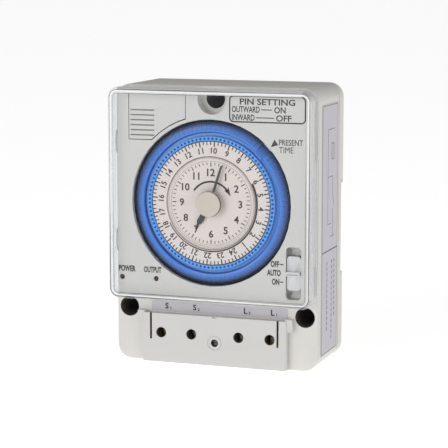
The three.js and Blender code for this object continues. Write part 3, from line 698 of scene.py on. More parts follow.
def in_hole(x: float, z: float, half_width: float, half_height: float, floor_y: float = 0.0) -> Callable:
    """A test for the faces that line a hole along the Y axis, all in bench mm.

    Args:
        x: the hole's middle across.
        z: the hole's middle upwards.
        half_width: half of its size across, with a little spare.
        half_height: half of its size upwards, with a little spare.
        floor_y: past this depth, faces that lie across the hole count too.

    Returns:
        The test.
    """
    def picks(corners: np.ndarray, normal: np.ndarray) -> bool:
        """Whether every corner is within the hole, on its wall or deep in it."""
        within = np.abs(corners[:, [0, 2]] - (x, z)) <= (half_width, half_height)
        return bool(within.all() and (abs(normal[1]) < HOLE_WALL_SHARE or corners[:, 1].min() > floor_y))

    return picks


def is_wall(corners: np.ndarray, normal: np.ndarray) -> bool:
    """Whether a face stands along the Y axis."""
    return abs(normal[1]) < COVER_WALL_SHARE


@dataclass(frozen=True)
class Bench:
    """The bench frame's origin in the row frame, in metres."""

    x: float
    y: float
    z: float

    @classmethod
    def from_frame(cls) -> "Bench":
        """Reads the origin from the two case shells."""
        front_low, front_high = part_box("front_housing")
        _, rear_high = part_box("rear_cover")
        return cls((front_low.x + front_high.x) / 2, rear_high.y, front_low.z)

    @property
    def origin(self) -> np.ndarray:
        """The origin as an array."""
        return np.array([self.x, self.y, self.z])

    def point(self, x: float, y: float, z: float) -> np.ndarray:
        """A bench point in mm as a row point in metres."""
        return self.origin + np.array([x, y, z]) * MM

    def node(self, name: str) -> tuple[np.ndarray, np.ndarray]:
        """The lowest and highest corner of a node, in bench mm."""
        low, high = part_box(name)
        return (np.array(low) - self.origin) / MM, (np.array(high) - self.origin) / MM


@dataclass
class Workshop:
    """Turns shapes and CAD nodes into pieces that ride, with their finishes, and keeps track of the CAD nodes
    that they stand for.
    """

    frame: dict
    bench: Bench
    done: set[str] = field(default_factory=set)

    def slot_of(self, node: str) -> str:
        """The record's material slot for a node."""
        rows = self.frame["record"]["subparts"]
        return next(row["material_slot"] for row in rows if row["node"] == node)

    def body_of(self, node: str) -> str:
        """The body that a node belongs to."""
        return self.frame["nodes"][node]["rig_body"]

    def piece(
        self, name: str, shape: Shape, finish: Finish, body: str, slot: str,
        replaces: Sequence[str] = (), smooth: bool = True,
    ) -> bpy.types.Object:
        """Makes a piece from a shape in bench mm.

        Args:
            name: the piece's name.
            shape: its points and faces, in bench mm.
            finish: its finish.
            body: the body that it rides on.
            slot: the record's material slot; not used.
            replaces: the CAD nodes that it stands for.
            smooth: whether its flatter edges are smooth, or every face is flat.

        Returns:
            The piece.
        """
        mesh = bpy.data.meshes.new(name)
        points = shape.points * MM + self.bench.origin
        mesh.from_pydata(points.tolist(), [], [row for block in shape.faces for row in block.tolist()])
        mesh.attributes.new("tint", "FLOAT", "POINT").data.foreach_set("value", shape.tint.astype(np.float32))
        outwards(mesh)
        if smooth:
            mesh.shade_smooth()
            mesh.set_sharp_from_angle(angle=np.radians(SMOOTH_BELOW))
        made = bpy.data.objects.new(name, mesh)
        bpy.context.scene.collection.objects.link(made)
        return self._dress(made, finish, body, replaces)

    def _round_edges(self, made: bpy.types.Object, edge_mm: float) -> bpy.types.BevelModifier:
        """Rounds a piece's sharp edges and returns the modifier that does it."""
        rounding = made.modifiers.new("rounded_edges", "BEVEL")
        rounding.width = edge_mm * MM
        rounding.segments = EDGE_SEGMENTS
        rounding.limit_method = "ANGLE"
        rounding.angle_limit = np.radians(ROUNDED_FROM)
        return rounding

    def _dress(
        self, made: bpy.types.Object, finish: Finish, body: str, replaces: Sequence[str]
    ) -> bpy.types.Object:
        """Gives a piece its material, body and the nodes that it stands for."""
        made.data.materials.clear()
        made.data.materials.append(finish.material)
        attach(made, body)
        if replaces:
            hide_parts(*replaces)
            self.done.update(replaces)
        LOG.info("%s rides on %s", made.name, body)
        return made

    def refined(
        self, node: str, finish: Finish | None = None, edge_mm: float = EDGE_MM,
        trims: Sequence[Trim] = (), rim: Finish | None = None,
    ) -> bpy.types.Object:
        """A copy of a CAD node with merged points, flat faces made whole and its edges rounded.

        Args:
            node: the CAD node.
            finish: its finish, or None for its slot's.
            edge_mm: the width of the rounding on its sharp edges.
            trims: other finishes on some of its faces.
            rim: another finish on the rounded edges.

        Returns:
            The copy, which stands for the node.
        """
        mesh = self.frame["nodes"][node].data.copy()
        whole_faces(mesh)
        mesh.name = f"{node}_finished"
        made = bpy.data.objects.new(f"{node}_finished", mesh)
        bpy.context.scene.collection.objects.link(made)
        rounding = self._round_edges(made, edge_mm)
        slot = self.slot_of(node)
        self._dress(made, finish or FINISH_OF_SLOT[slot], self.body_of(node), [node])
        for number, trim in enumerate(trims, start=1):
            made.data.materials.append(trim.finish.material)
            self._paint(made.data, number, trim)
        if rim:
            made.data.materials.append(rim.material)
            rounding.material = len(made.data.materials) - 1
        return made

    def _paint(self, mesh: bpy.types.Mesh, number: int, trim: Trim) -> None:
        """Gives the faces that a trim picks the material of that number."""
        points = np.empty(len(mesh.vertices) * 3, np.float32)
        mesh.vertices.foreach_get("co", points)
        points = (points.reshape(-1, 3) - self.bench.origin) / MM
        for face in mesh.polygons:
            if trim.picks(points[list(face.vertices)], np.array(face.normal)):
                face.material_index = number


def outwards(mesh: bpy.types.Mesh) -> None:
    """Merges doubled points and turns every face outwards."""
    work = bmesh.new()
    work.from_mesh(mesh)
    bmesh.ops.remove_doubles(work, verts=work.verts, dist=SAME_POINT)
    bmesh.ops.recalc_face_normals(work, faces=work.faces)
    work.to_mesh(mesh)
    work.free()


def whole_faces(mesh: bpy.types.Mesh) -> None:
    """Merges a triangulated mesh's points, joins its coplanar triangles and smooths its round stretches."""
    work = bmesh.new()
    work.from_mesh(mesh)
    bmesh.ops.remove_doubles(work, verts=work.verts, dist=SAME_CAD_POINT)
    flat = np.radians(FLAT_WITHIN)
    bmesh.ops.dissolve_limit(work, angle_limit=flat, verts=work.verts, edges=work.edges)
    work.to_mesh(mesh)
    work.free()
    mesh.shade_smooth()
    mesh.set_sharp_from_angle(angle=np.radians(CAD_SMOOTH_BELOW))


# ---------- sub-assemblies ----------
@dataclass
class TimeRing:
    """The blue ring: a carrier with a graduated bead, and 96 pins that slide in and out.

    Radii are from the dial's axis, and a size whose name ends in _y is a depth in the bench frame.
    """

    shop: Workshop
    pin_count: int = 96
    first_loose: int = 9
    loose: int = 6
    pushed_in: tuple[int, ...] = (2, 3)
    travel: float = 1.2
    # A pin's section, and the angle left free at each of its sides.
    inner_r: float = 26.85
    crest_r: float = 27.6
    step_r: float = 28.1
    outer_r: float = 31.3
    crest_y: float = -37.25
    crown_drop: float = 2.2
    ridge_height: float = 0.28
    ridge_half: float = 0.42
    inner_y: float = -37.0
    lip: float = 0.25
    lip_y: float = -37.4
    step_y: float = -36.3
    foot_y: float = -34.9
    side_gap: float = 0.06
    loose_gap: float = 0.1
    # Painted light on a pin: a painted highlight along its crest, and painted shade away from it and deepest
    # towards its outer edge, less on a pushed-in pin.
    crest_shade: float = 0.3
    crest_glow: float = 0.5
    outer_shade: float = 0.7
    pushed_shade: float = 0.3
    shade_start: float = 28.2
    shade_run: float = 2.6
    shade_curve: float = 1.2
    # The carrier: its bead with a row of dimples, the shelf beside it and the seat under the pins, with
    # painted shade in the dimples and on the shelf.
    bead_r: float = 24.55
    bead_half: float = 0.85
    bead_y: float = -37.5
    bead_height: float = 0.4
    bead_fullness: float = 0.7
    dimple_round: float = 0.36
    dimple_across: float = 0.4
    dimple_depth: float = 0.4
    dimple_y: float = -37.3
    dimple_shade: float = 1.8
    shelf: tuple[tuple[float, float], ...] = ((25.45, -36.9), (25.6, -36.25), (26.6, -36.2))
    shelf_from: float = 25.4
    shelf_shade: float = 0.28
    seat: tuple[float, float] = (26.7, 30.4)
    seat_y: float = -34.6
    back_y: float = -33.1
    # The ledge behind the loose pins.
    sill_radii: tuple[float, float] = (30.5, 31.7)
    sill_y: tuple[float, float] = (-34.85, -34.75)

    def __post_init__(self) -> None:
        """Takes the dial's middle from the frame."""
        low, high = self.shop.bench.node("pin_carrier")
        self.middle = (low + high) / 2 * np.array([1, 0, 1])

    @property
    def pitch(self) -> float:
        """The angle from pin to pin, in degrees."""
        return 360 / self.pin_count

    def _about_axis(self, shape: Shape) -> Shape:
        """Moves a shape made about the origin to the dial's axis."""
        shape.points += self.middle
        return shape

    def pin_section(self) -> np.ndarray:
        """A pin's closed outline: a quarter-ellipse crown, a small ridge at its inner end and a stepped foot.

        The ridge is a bell about the crest, added to the crown.
        """
        sweep = np.linspace(0, np.pi / 2, 12)
        crown = np.column_stack([
            self.crest_r + (self.outer_r - self.crest_r) * np.sin(sweep),
            self.crest_y + self.crown_drop * (1 - np.cos(sweep)),
        ])
        crown[:, 1] -= self.ridge_height * np.exp(-(((crown[:, 0] - self.crest_r) / self.ridge_half) ** 2))
        foot = [
            [self.outer_r, self.foot_y], [self.step_r, self.foot_y],
            [self.step_r, self.step_y], [self.inner_r, self.step_y],
        ]
        lip = [[self.inner_r, self.inner_y], [self.inner_r + self.lip, self.lip_y]]
        return np.vstack([crown, foot, lip])

    def pin(self, index: int) -> Shape:
        """One pin about the dial's axis, at its place in the round."""
        start = index * self.pitch
        place = index - self.first_loose
        gap = self.loose_gap if 0 <= place < self.loose else self.side_gap
        edge_shade = self.pushed_shade if place in self.pushed_in else self.outer_shade

        def tint(r: np.ndarray, y: np.ndarray, a: np.ndarray) -> np.ndarray:
            """Painted highlight along the crest and painted shade, deepest at the outer edge."""
            beside_crest = 1 - np.exp(-(((r - self.crest_r) / self.crest_glow) ** 2))
            way_out = np.clip((r - self.shade_start) / self.shade_run, 0, 1) ** self.shade_curve
            return self.crest_shade * beside_crest + edge_shade * way_out

        return revolved(self.pin_section(), start + gap, start + self.pitch - gap, 3, tint=tint)

    def sill(self) -> Shape:
        """A thin pale ledge behind the loose pins, seen where one is pushed in."""
        (inner, outer), (front, back) = self.sill_radii, self.sill_y
        section = np.array([[inner, front], [outer, front], [outer, back], [inner, back]])
        start = (self.first_loose - 0.5) * self.pitch
        return revolved(section, start, start + (self.loose + 1) * self.pitch, 24)

    def dimple(self, r: np.ndarray, y: np.ndarray, a: np.ndarray) -> np.ndarray:
        """How deep in one of the round's dimples a point is, 0 to 1.

        It is a bell over the distance to the nearest dimple's middle, and there is one for each pin.
        """
        off = (np.degrees(a) / self.pitch) % 1 - 0.5
        around = off * np.radians(self.pitch) * r / self.dimple_round
        across = (r - self.bead_r) / self.dimple_across
        return np.where(y < self.dimple_y, np.exp(-(around**2) - across**2), 0.0)

    def carrier(self) -> Shape:
        """The carrier: a rounded bead with dimples, a shallow shelf beside it and a deep seat for the pins.

        The bead's section is a half circle, flattened, whose height goes as a power of the sine.
        """
        sweep = np.linspace(0, np.pi, 15)
        bead = np.column_stack([
            self.bead_r - self.bead_half * np.cos(sweep),
            self.bead_y - self.bead_height * np.sin(sweep) ** self.bead_fullness,
        ])
        inner, outer = self.seat
        section = np.vstack([
            [[self.bead_r - self.bead_half, self.back_y]], bead, self.shelf,
            [[inner, self.seat_y], [outer, self.seat_y], [outer, self.back_y]],
        ])

        def relief(r: np.ndarray, y: np.ndarray, a: np.ndarray) -> np.ndarray:
            """Sinks the dimples."""
            return self.dimple_depth * self.dimple(r, y, a)

        def tint(r: np.ndarray, y: np.ndarray, a: np.ndarray) -> np.ndarray:
            """Painted shade, deep in the dimples and, by a part, on the shelf."""
            on_shelf = np.where(r > self.shelf_from, self.shelf_shade, 0.0)
            return np.clip(self.dimple(r, y, a) * self.dimple_shade + on_shelf, 0, 1)

        return revolved(section, 0, 360, self.pin_count * 8, relief, tint)

    def build(self) -> None:
        """Makes the loose pins, the rest of the pins, the carrier and the ledge."""
        loose = range(self.first_loose, self.first_loose + self.loose)
        for number, index in enumerate(loose):
            turn = np.radians((index + 0.5) * self.pitch)
            inward = -self.travel if number in self.pushed_in else 0.0
            shape = self._about_axis(self.pin(index))
            shape.points += inward * np.array([np.cos(turn), 0, np.sin(turn)])
            node = f"time_pin_{number + 1}"
            self.shop.piece(f"{node}_crowned", shape, Finish.PIN_BLUE, node, "dial_blue", [node])
        rest = joined([self.pin(index) for index in range(self.pin_count) if index not in loose])
        rest = self._about_axis(rest)
        self.shop.piece("time_pins", rest, Finish.PIN_BLUE, "day_dial", "dial_blue", ["pin_ring"])
        carrier = self._about_axis(self.carrier())
        self.shop.piece("ring_carrier", carrier, Finish.BEAD_BLUE, "day_dial", "dial_blue", ["pin_carrier"])
        sill = self._about_axis(self.sill())
        self.shop.piece("pointer_sill", sill, Finish.RECESS_GREY, "case", "light_grey", smooth=False)


@dataclass(frozen=True)
class Scale:
    """A round of ticks and numerals: ticks for the hours, shorter ones between them, and the type."""

    count: int
    per_hour: int
    hour_inner: float
    hour_width: float
    inner: float
    width: float
    outer: float
    numeral_r: float
    numeral: float

    def ticks(self, angles: np.ndarray) -> Shape:
        """The ticks at their angles, of which the first is an hour's."""
        on_hour = np.arange(self.count) % self.per_hour == 0
        inner = np.where(on_hour, self.hour_inner, self.inner)
        width = np.where(on_hour, self.hour_width, self.width)
        return spokes(angles, inner, self.outer, width, PRINT_MM)


@dataclass
class DialPrint:
    """What is printed on the 24-hour plate and on the clock face."""

    shop: Workshop
    first_angle: float = 86.25
    first_hour: int = 10
    hour_angle: float = 15.0
    plate: Scale = Scale(96, 4, 21.4, 0.46, 22.1, 0.4, 23.4, 20.0, 2.25)
    face: Scale = Scale(60, 5, 13.9, 0.36, 14.5, 0.28, 15.5, 11.7, 2.85)
    bold: float = 0.022
    dusk: int = 18
    night_r: float = 18.35
    night_widths: tuple[float, float] = (0.35, 0.8)
    arrow_r: float = 8.2
    arrow_angles: tuple[float, float] = (146.5, 36.0)
    arrow_width: float = 0.72
    head_angle: float = 34.0
    head: tuple[tuple[float, float], ...] = ((-1.0, 1.3), (0.0, 0.7), (1.2, 1.5), (0.0, -1.9))
    rings: tuple[float, float] = (16.0, 17.15)
    ring_width: float = 0.14
    face_step: float = 0.4

    def __post_init__(self) -> None:
        """Takes the faces' middles and heights from the frame."""
        day_low, day_high = self.shop.bench.node("day_dial")
        self.plate_front = day_low[1]
        self.middle = (day_low + day_high) / 2
        clock_low, _ = self.shop.bench.node("clock_face")
        self.face_front = clock_low[1] + self.face_step

    def _lay(self, shape: Shape, y: float) -> Shape:
        """Lays a flat shape on the dial about its middle, facing forwards."""
        return shape.placed((self.middle[0], y, self.middle[2]), RIGHT, UP)

    def _at(self, shape: Shape, radius: float, angle: float, y: float, spin: float) -> Shape:
        """Lays a flat shape at a radius and angle on the dial, turned by spin degrees."""
        turn, way = np.radians([spin, angle])
        along = np.array([np.cos(turn), 0, np.sin(turn)])
        across = np.array([-np.sin(turn), 0, np.cos(turn)])
        spot = (self.middle[0] + radius * np.cos(way), y, self.middle[2] + radius * np.sin(way))
        return shape.placed(spot, along, across)

    def _plate_angle(self, hour: float) -> float:
        """Where an hour is on the 24-hour plate, in degrees."""
        return self.first_angle + (hour - self.first_hour) * self.hour_angle

    def day_plate(self) -> Shape:
        """Hours 1 to 24 with their tops outwards, four ticks an hour, and the night arc from 18 to 6."""
        front, plate = self.plate_front, self.plate
        angles = self.first_angle + np.arange(plate.count) * 360 / plate.count
        parts = [self._lay(plate.ticks(angles), front)]
        for hour in range(1, 25):
            angle = self._plate_angle(hour)
            numeral = lettering(str(hour), plate.numeral, PRINT_MM, bold=self.bold)
            parts.append(self._at(numeral, plate.numeral_r, angle, front, angle - 90))
        dusk = self._plate_angle(self.dusk)
        night = arc_points(self.night_r, dusk, dusk + 180, 90)
        widths = np.linspace(*self.night_widths, len(night))
        parts.append(self._lay(strip(night, widths, PRINT_MM), front))
        return joined(parts)

    def clock(self) -> Shape:
        """Hours 1 to 12 upright, sixty minute ticks and the arrow that shows which way to turn."""
        front, face = self.face_front, self.face
        angles = 90 - np.arange(face.count) * 360 / face.count
        parts = [self._lay(face.ticks(angles), front)]
        for hour in range(1, 13):
            numeral = lettering(str(hour), face.numeral, PRINT_MM, bold=self.bold)
            parts.append(self._at(numeral, face.numeral_r, 90 - hour * 30, front, 0))
        turn = arc_points(self.arrow_r, *self.arrow_angles, 40)
        parts.append(self._lay(strip(turn, np.full(len(turn), self.arrow_width), PRINT_MM), front))
        head = slab(np.array(self.head), PRINT_MM)
        parts.append(self._at(head, self.arrow_r, self.head_angle, front, self.head_angle))
        return joined(parts)

    def grooves(self) -> Shape:
        """Two fine raised rings that edge the clock face."""
        flat = []
        for radius, level in zip(self.rings, (0.0, self.face_step)):
            ring = arc_points(radius, 0, 360, 96)[:-1]
            raised = strip(ring, np.full(len(ring), self.ring_width), PRINT_MM, closed=True)
            flat.append(self._lay(raised, self.face_front - level))
        return joined(flat)

    def build(self) -> None:
        """Makes the printed marks and rings."""
        self.shop.piece("day_plate_print", self.day_plate(), Finish.INK, "day_dial", "hand_ink", smooth=False)
        self.shop.piece("clock_print", self.clock(), Finish.INK, "case", "hand_ink", smooth=False)
        self.shop.piece("clock_rings", self.grooves(), Finish.RING_GREY, "case", "light_grey", smooth=False)


@dataclass
class SettingKnob:
    """The round knob at the middle: a dished top with a rolled rim, a side with painted shade and a flange
    below it.
    """

    shop: Workshop
    spread: float = 0.4
    step: float = 0.22
    tip: float = 0.02
    land: float = 0.35
    dish: float = 0.1
    roll: float = 0.3
    side_top: float = 0.36
    side_foot: float = 0.5
    flange_top: float = 0.44
    bore_r: float = 0.9
    bore_depth: float = 0.7
    spare: float = 0.01

    def build(self) -> None:
        """Turns the knob's section about the dial's axis.

        The dish sinks by one less the square of the way out, and the rim is a quarter circle.
        """
        low, high = self.shop.bench.node("set_knob")
        flange = (high[0] - low[0]) / 2 + self.spread
        rim = flange - self.step
        top, foot = low[1], high[1]
        out = np.linspace(self.tip, rim - self.land, 8)
        face = np.column_stack([out, top + self.dish * (1 - (out / out[-1]) ** 2)])
        sweep = np.linspace(0, np.pi / 2, 7)
        roll = np.column_stack([
            rim - self.roll + self.roll * np.sin(sweep),
            top + self.roll * (1 - np.cos(sweep)),
        ])
        side_top, side_foot, bore_top = top + self.side_top, foot - self.side_foot, foot - self.bore_depth
        side = [[rim, side_top], [rim, side_foot]]
        skirt = [[flange, foot - self.flange_top], [flange, foot]]
        bore = [[self.bore_r, foot], [self.bore_r, bore_top], [self.tip, bore_top]]

        def tint(r: np.ndarray, y: np.ndarray, a: np.ndarray) -> np.ndarray:
            """Painted shade on the side, between the rim and the flange."""
            beside = np.abs(r - rim) < self.spare
            return np.where(beside & (y > side_top - self.spare) & (y < side_foot + self.spare), 1.0, 0.0)

        shape = revolved(np.vstack([face, roll, side, skirt, bore]), 0, 360, 72, tint=tint)
        shape.points += (low + high) / 2 * np.array([1, 0, 1])
        self.shop.piece("setting_knob", shape, Finish.KNOB_GREY, "minute_work", "knob_grey", ["set_knob"])


@dataclass
class SlideKnob:
    """The slide switch's knob: a hollowed cap with round corners, a tall ridge and a stem."""

    shop: Workshop
    cap: float = 2.6
    crest: float = 4.5
    hollow: float = 0.6
    ridge_half: float = 0.75
    corner: float = 1.3
    shares: tuple[float, ...] = (1.0, 1.0, 1.0, 0.95, 0.85, 0.7, 0.55, 0.4, 0.25, 0.1, 0.01)
    side_drops: tuple[float, float] = (0.7, 0.3)
    ridge_inset: float = 0.1
    ridge_sunk: float = 1.5
    edge_r: float = 0.3
    stem: tuple[float, float] = (2.0, 4.4)
    bezel: tuple[float, float, float] = (5.4, 17.7, 0.6)
    bezel_width: float = 2.0
    bezel_thick: float = 0.15
    bezel_y: float = -34.25
    # A painted shadow line across the ridge's front: its inset from the ends, height and width.
    score_inset: float = 0.5
    score_z: float = -0.2
    score_width: float = 0.3

    def cap_shape(self, width: float, height: float) -> Shape:
        """The cap, as rings of its outline that shrink towards its middle.

        A ring's height is the cap less hollow times the sine of its way from the ridge to the end.
        """
        loop = rounded_loop(width, height, self.corner)
        shares = np.array(self.shares)
        rings = loop[None] * shares[:, None, None]
        way = np.clip((np.abs(rings[..., 1]) - self.ridge_half) / (height / 2 - self.ridge_half), 0, 1)
        lift = self.cap - self.hollow * np.sin(np.pi * way)
        lift[0] = 0.0
        lift[1], lift[2] = [self.cap - drop for drop in self.side_drops]
        points = np.dstack([rings, lift]).reshape(-1, 3)
        ring = np.arange(len(loop))
        last = ring + (len(shares) - 1) * len(loop)
        # The two outer rings, the cap's sides, get full painted shade.
        tint = np.repeat(np.where(np.arange(len(shares)) < 2, 1.0, 0.0), len(loop))
        faces = [grid_faces(len(shares), len(loop), False, True), ring[None, ::-1], last[None, :]]
        return Shape(points, faces, tint)

    def build(self) -> None:
        """Makes the cap, the ridge with a painted shadow line across its front, and the stem."""
        low, high = self.shop.bench.node("mode_knob")
        middle = (low + high) / 2
        base = low[1] + self.crest
        width, height = high[0] - low[0], high[2] - low[2]
        cap = self.cap_shape(width, height).placed((middle[0], base, middle[2]), RIGHT, UP)
        ridge_loop = rounded_loop(width - self.ridge_inset, 2 * self.ridge_half, self.edge_r, 4)
        ridge_foot = (middle[0], base - self.ridge_sunk, middle[2])
        ridge = slab(ridge_loop, self.crest - self.ridge_sunk).placed(ridge_foot, RIGHT, UP)
        stem_loop = rounded_loop(*self.stem, self.edge_r, 3)
        stem = slab(stem_loop, high[1] - base).placed((middle[0], high[1], middle[2]), RIGHT, UP)
        body = self.shop.body_of("mode_knob")
        whole = joined([cap, ridge, stem])
        self.shop.piece("slide_knob", whole, Finish.SLIDE_GREY, body, "light_grey", ["mode_knob"])
        bezel_loop = rounded_loop(*self.bezel)
        bezel = strip(bezel_loop, np.full(len(bezel_loop), self.bezel_width), self.bezel_thick, closed=True)
        bezel = bezel.placed((middle[0], self.bezel_y, middle[2]), RIGHT, UP)
        self.shop.piece("switch_bezel", bezel, Finish.RECESS_GREY, "case", "light_grey", smooth=False)
        half = width / 2 - self.score_inset
        painted_shadow_line = line((-half, self.score_z), (half, self.score_z), self.score_width, PRINT_MM)
        painted_shadow_line = painted_shadow_line.placed((middle[0], low[1], middle[2]), RIGHT, UP)
        self.shop.piece("slide_knob_painted_shadow_line", painted_shadow_line, Finish.RING_GREY, body, "light_grey", smooth=False)


@dataclass(frozen=True)
class Word:
    """A word on the panel: its text, middle, height, width and how much its strokes are thickened."""

    text: str
    x: float
    z: float
    height: float
    width: float
    bold: float = 0.04


PANEL_WORDS = (
    Word("POWER", -34.6, 36.4, 2.4, 7.0),
    Word("OUTPUT", -24.1, 36.4, 2.4, 7.2),
    Word("OFF", 25.0, 41.3, 2.4, 3.3),
    Word("AUTO", 24.6, 38.0, 2.4, 5.4),
    Word("ON", 25.3, 34.6, 2.4, 2.9),
    Word("PRESENT", 31.0, 87.0, 2.2, 9.3, 0.008),
    Word("TIME", 29.2, 84.2, 2.2, 5.6, 0.0),
    Word("PIN SETTING", 21.8, 101.8, 2.35, 21.5, 0.02),
    Word("OUTWARD", 13.4, 98.9, 2.35, 10.9, 0.02),
    Word("ON", 26.7, 98.9, 2.35, 4.4, 0.02),
    Word("INWARD", 12.4, 95.9, 2.35, 8.9, 0.02),
    Word("OFF", 28.2, 95.9, 2.35, 6.0, 0.02),
)
# Short level lines on the panel: where each starts and ends, its height and its width.
PANEL_DASHES = (
    (19.4, 23.6, 98.9, 0.34), (17.4, 24.4, 95.9, 0.34), (26.9, 28.3, 41.3, 0.4), (26.9, 28.3, 34.6, 0.4),
)
POINTER = ((23.2, 85.1), (26.1, 86.0), (24.6, 88.0))
# A terminal's letter, its digit and where it stands across the strip.
TERMINALS = (("S", "1", -20.0), ("S", "2", -8.6), ("L", "2", 12.0), ("L", "1", 22.8))
# The side label's drawing, with x across it from front to back and y up it, from its middle.
WIRES = (
    ((-3.0, 38.0), (-3.0, 2.0)), ((-3.0, 38.0), (1.5, 38.0)), ((-3.0, 2.0), (1.5, 2.0)),
    ((3.6, 33.0), (3.6, 26.0)), ((3.6, 20.0), (3.6, 13.0)), ((3.6, 7.5), (3.6, -3.0)),
    ((0.5, 38.0), (5.8, 38.0)), ((0.5, -3.0), (5.8, -3.0)), ((-3.0, 20.0), (3.6, 20.0)),
    ((3.6, 13.0), (5.4, 8.6)),
)
# The rows of dashes below it: how far across the label each is, and how long.
ROWS = ((-3.5, 27.0), (2.8, 30.0), (6.2, 22.0))


@dataclass
class PanelPrint:
    """The words and marks printed on the raised panel, on the terminal strip and on the side label."""

    shop: Workshop
    legend: tuple[float, float, float] = (29.4, 9.6, 1.5)
    legend_at: tuple[float, float] = (21.8, 99.0)
    legend_line: float = 0.5
    letter: float = 2.3
    digit: float = 1.15
    terminal_bold: float = 0.034
    letter_up: float = 0.1
    digit_off: tuple[float, float] = (1.6, -0.6)
    split_z: float = 44.5
    split_line: float = 0.4
    label_inset: float = 0.5
    frame_r: float = 0.4
    frame_line: float = 0.18
    wire_line: float = 0.22
    coil: tuple[float, float, float] = (3.4, 6.0, 0.3)
    coil_at: tuple[float, float] = (3.6, 29.5)
    row_drop: float = 4.0
    dash_pitch: float = 2.1
    dash: float = 1.4
    dash_width: float = 0.6

    def __post_init__(self) -> None:
        """Takes the panel's face from the frame."""
        panel_low, _ = self.shop.bench.node("front_housing")
        self.front = float(panel_low[1])

    def _mark(self, shape: Shape, x: float = 0.0, z: float = 0.0) -> Shape:
        """A flat shape on the panel."""
        return shape.placed((x, self.front, z), RIGHT, UP)

    def panel(self) -> Shape:
        """Lamp names, switch positions, the pointer with its words, and the framed legend."""
        parts = []
        for word in PANEL_WORDS:
            letters = lettering(word.text, word.height, PRINT_MM, word.width, word.bold)
            parts.append(self._mark(letters, word.x, word.z))
        for start, end, z, width in PANEL_DASHES:
            parts.append(self._mark(line((start, z), (end, z), width, PRINT_MM)))
        parts.append(self._mark(slab(np.array(POINTER), PRINT_MM)))
        loop = rounded_loop(*self.legend)
        frame = strip(loop, np.full(len(loop), self.legend_line), PRINT_MM, closed=True)
        parts.append(self._mark(frame, *self.legend_at))
        return joined(parts)

    def terminals(self) -> Shape:
        """The four terminal symbols on the strip."""
        low, high = self.shop.bench.node("terminal_label")
        middle = (low[2] + high[2]) / 2
        right, up = self.digit_off
        parts = []
        for letter, digit, x in TERMINALS:
            capital = lettering(letter, self.letter, PRINT_MM, bold=self.terminal_bold)
            small = lettering(digit, self.digit, PRINT_MM, bold=self.terminal_bold)
            parts.append(capital.placed((x, low[1], middle + self.letter_up), RIGHT, UP))
            parts.append(small.placed((x + right, low[1], middle + up), RIGHT, UP))
        return joined(parts)

    def side(self) -> Shape:
        """The side label's frame, a divider, a made-up line drawing and rows of dashes."""
        low, high = self.shop.bench.node("side_label")
        centre = (float(high[0]), (low[1] + high[1]) / 2, (low[2] + high[2]) / 2)
        width, height = high[1] - low[1] - 2 * self.label_inset, high[2] - low[2] - 2 * self.label_inset
        half = width / 2
        split = self.split_z - centre[2]
        frame = rounded_loop(width, height, self.frame_r, 2)
        drawn = [strip(frame, np.full(len(frame), self.frame_line), PRINT_MM, closed=True)]
        drawn += [line(start, end, self.wire_line, PRINT_MM) for start, end in WIRES]
        drawn.append(line((-half, split), (half, split), self.split_line, PRINT_MM))
        row_top = split - self.row_drop
        for x, length in ROWS:
            tops = np.arange(row_top, row_top - length, -self.dash_pitch)
            drawn += [line((x, top), (x, top - self.dash), self.dash_width, PRINT_MM) for top in tops]
        coil = rounded_loop(*self.coil, 2) + np.array(self.coil_at)
        drawn.append(strip(coil, np.full(len(coil), self.wire_line), PRINT_MM, closed=True))
        return joined(drawn).placed(centre, BACK, UP)

    def build(self) -> None:
        """Makes the three groups of print."""
        for place, shape in (("panel", self.panel()), ("terminal", self.terminals()), ("side", self.side())):
            self.shop.piece(f"{place}_print", shape, Finish.INK, "case", "hand_ink", smooth=False)


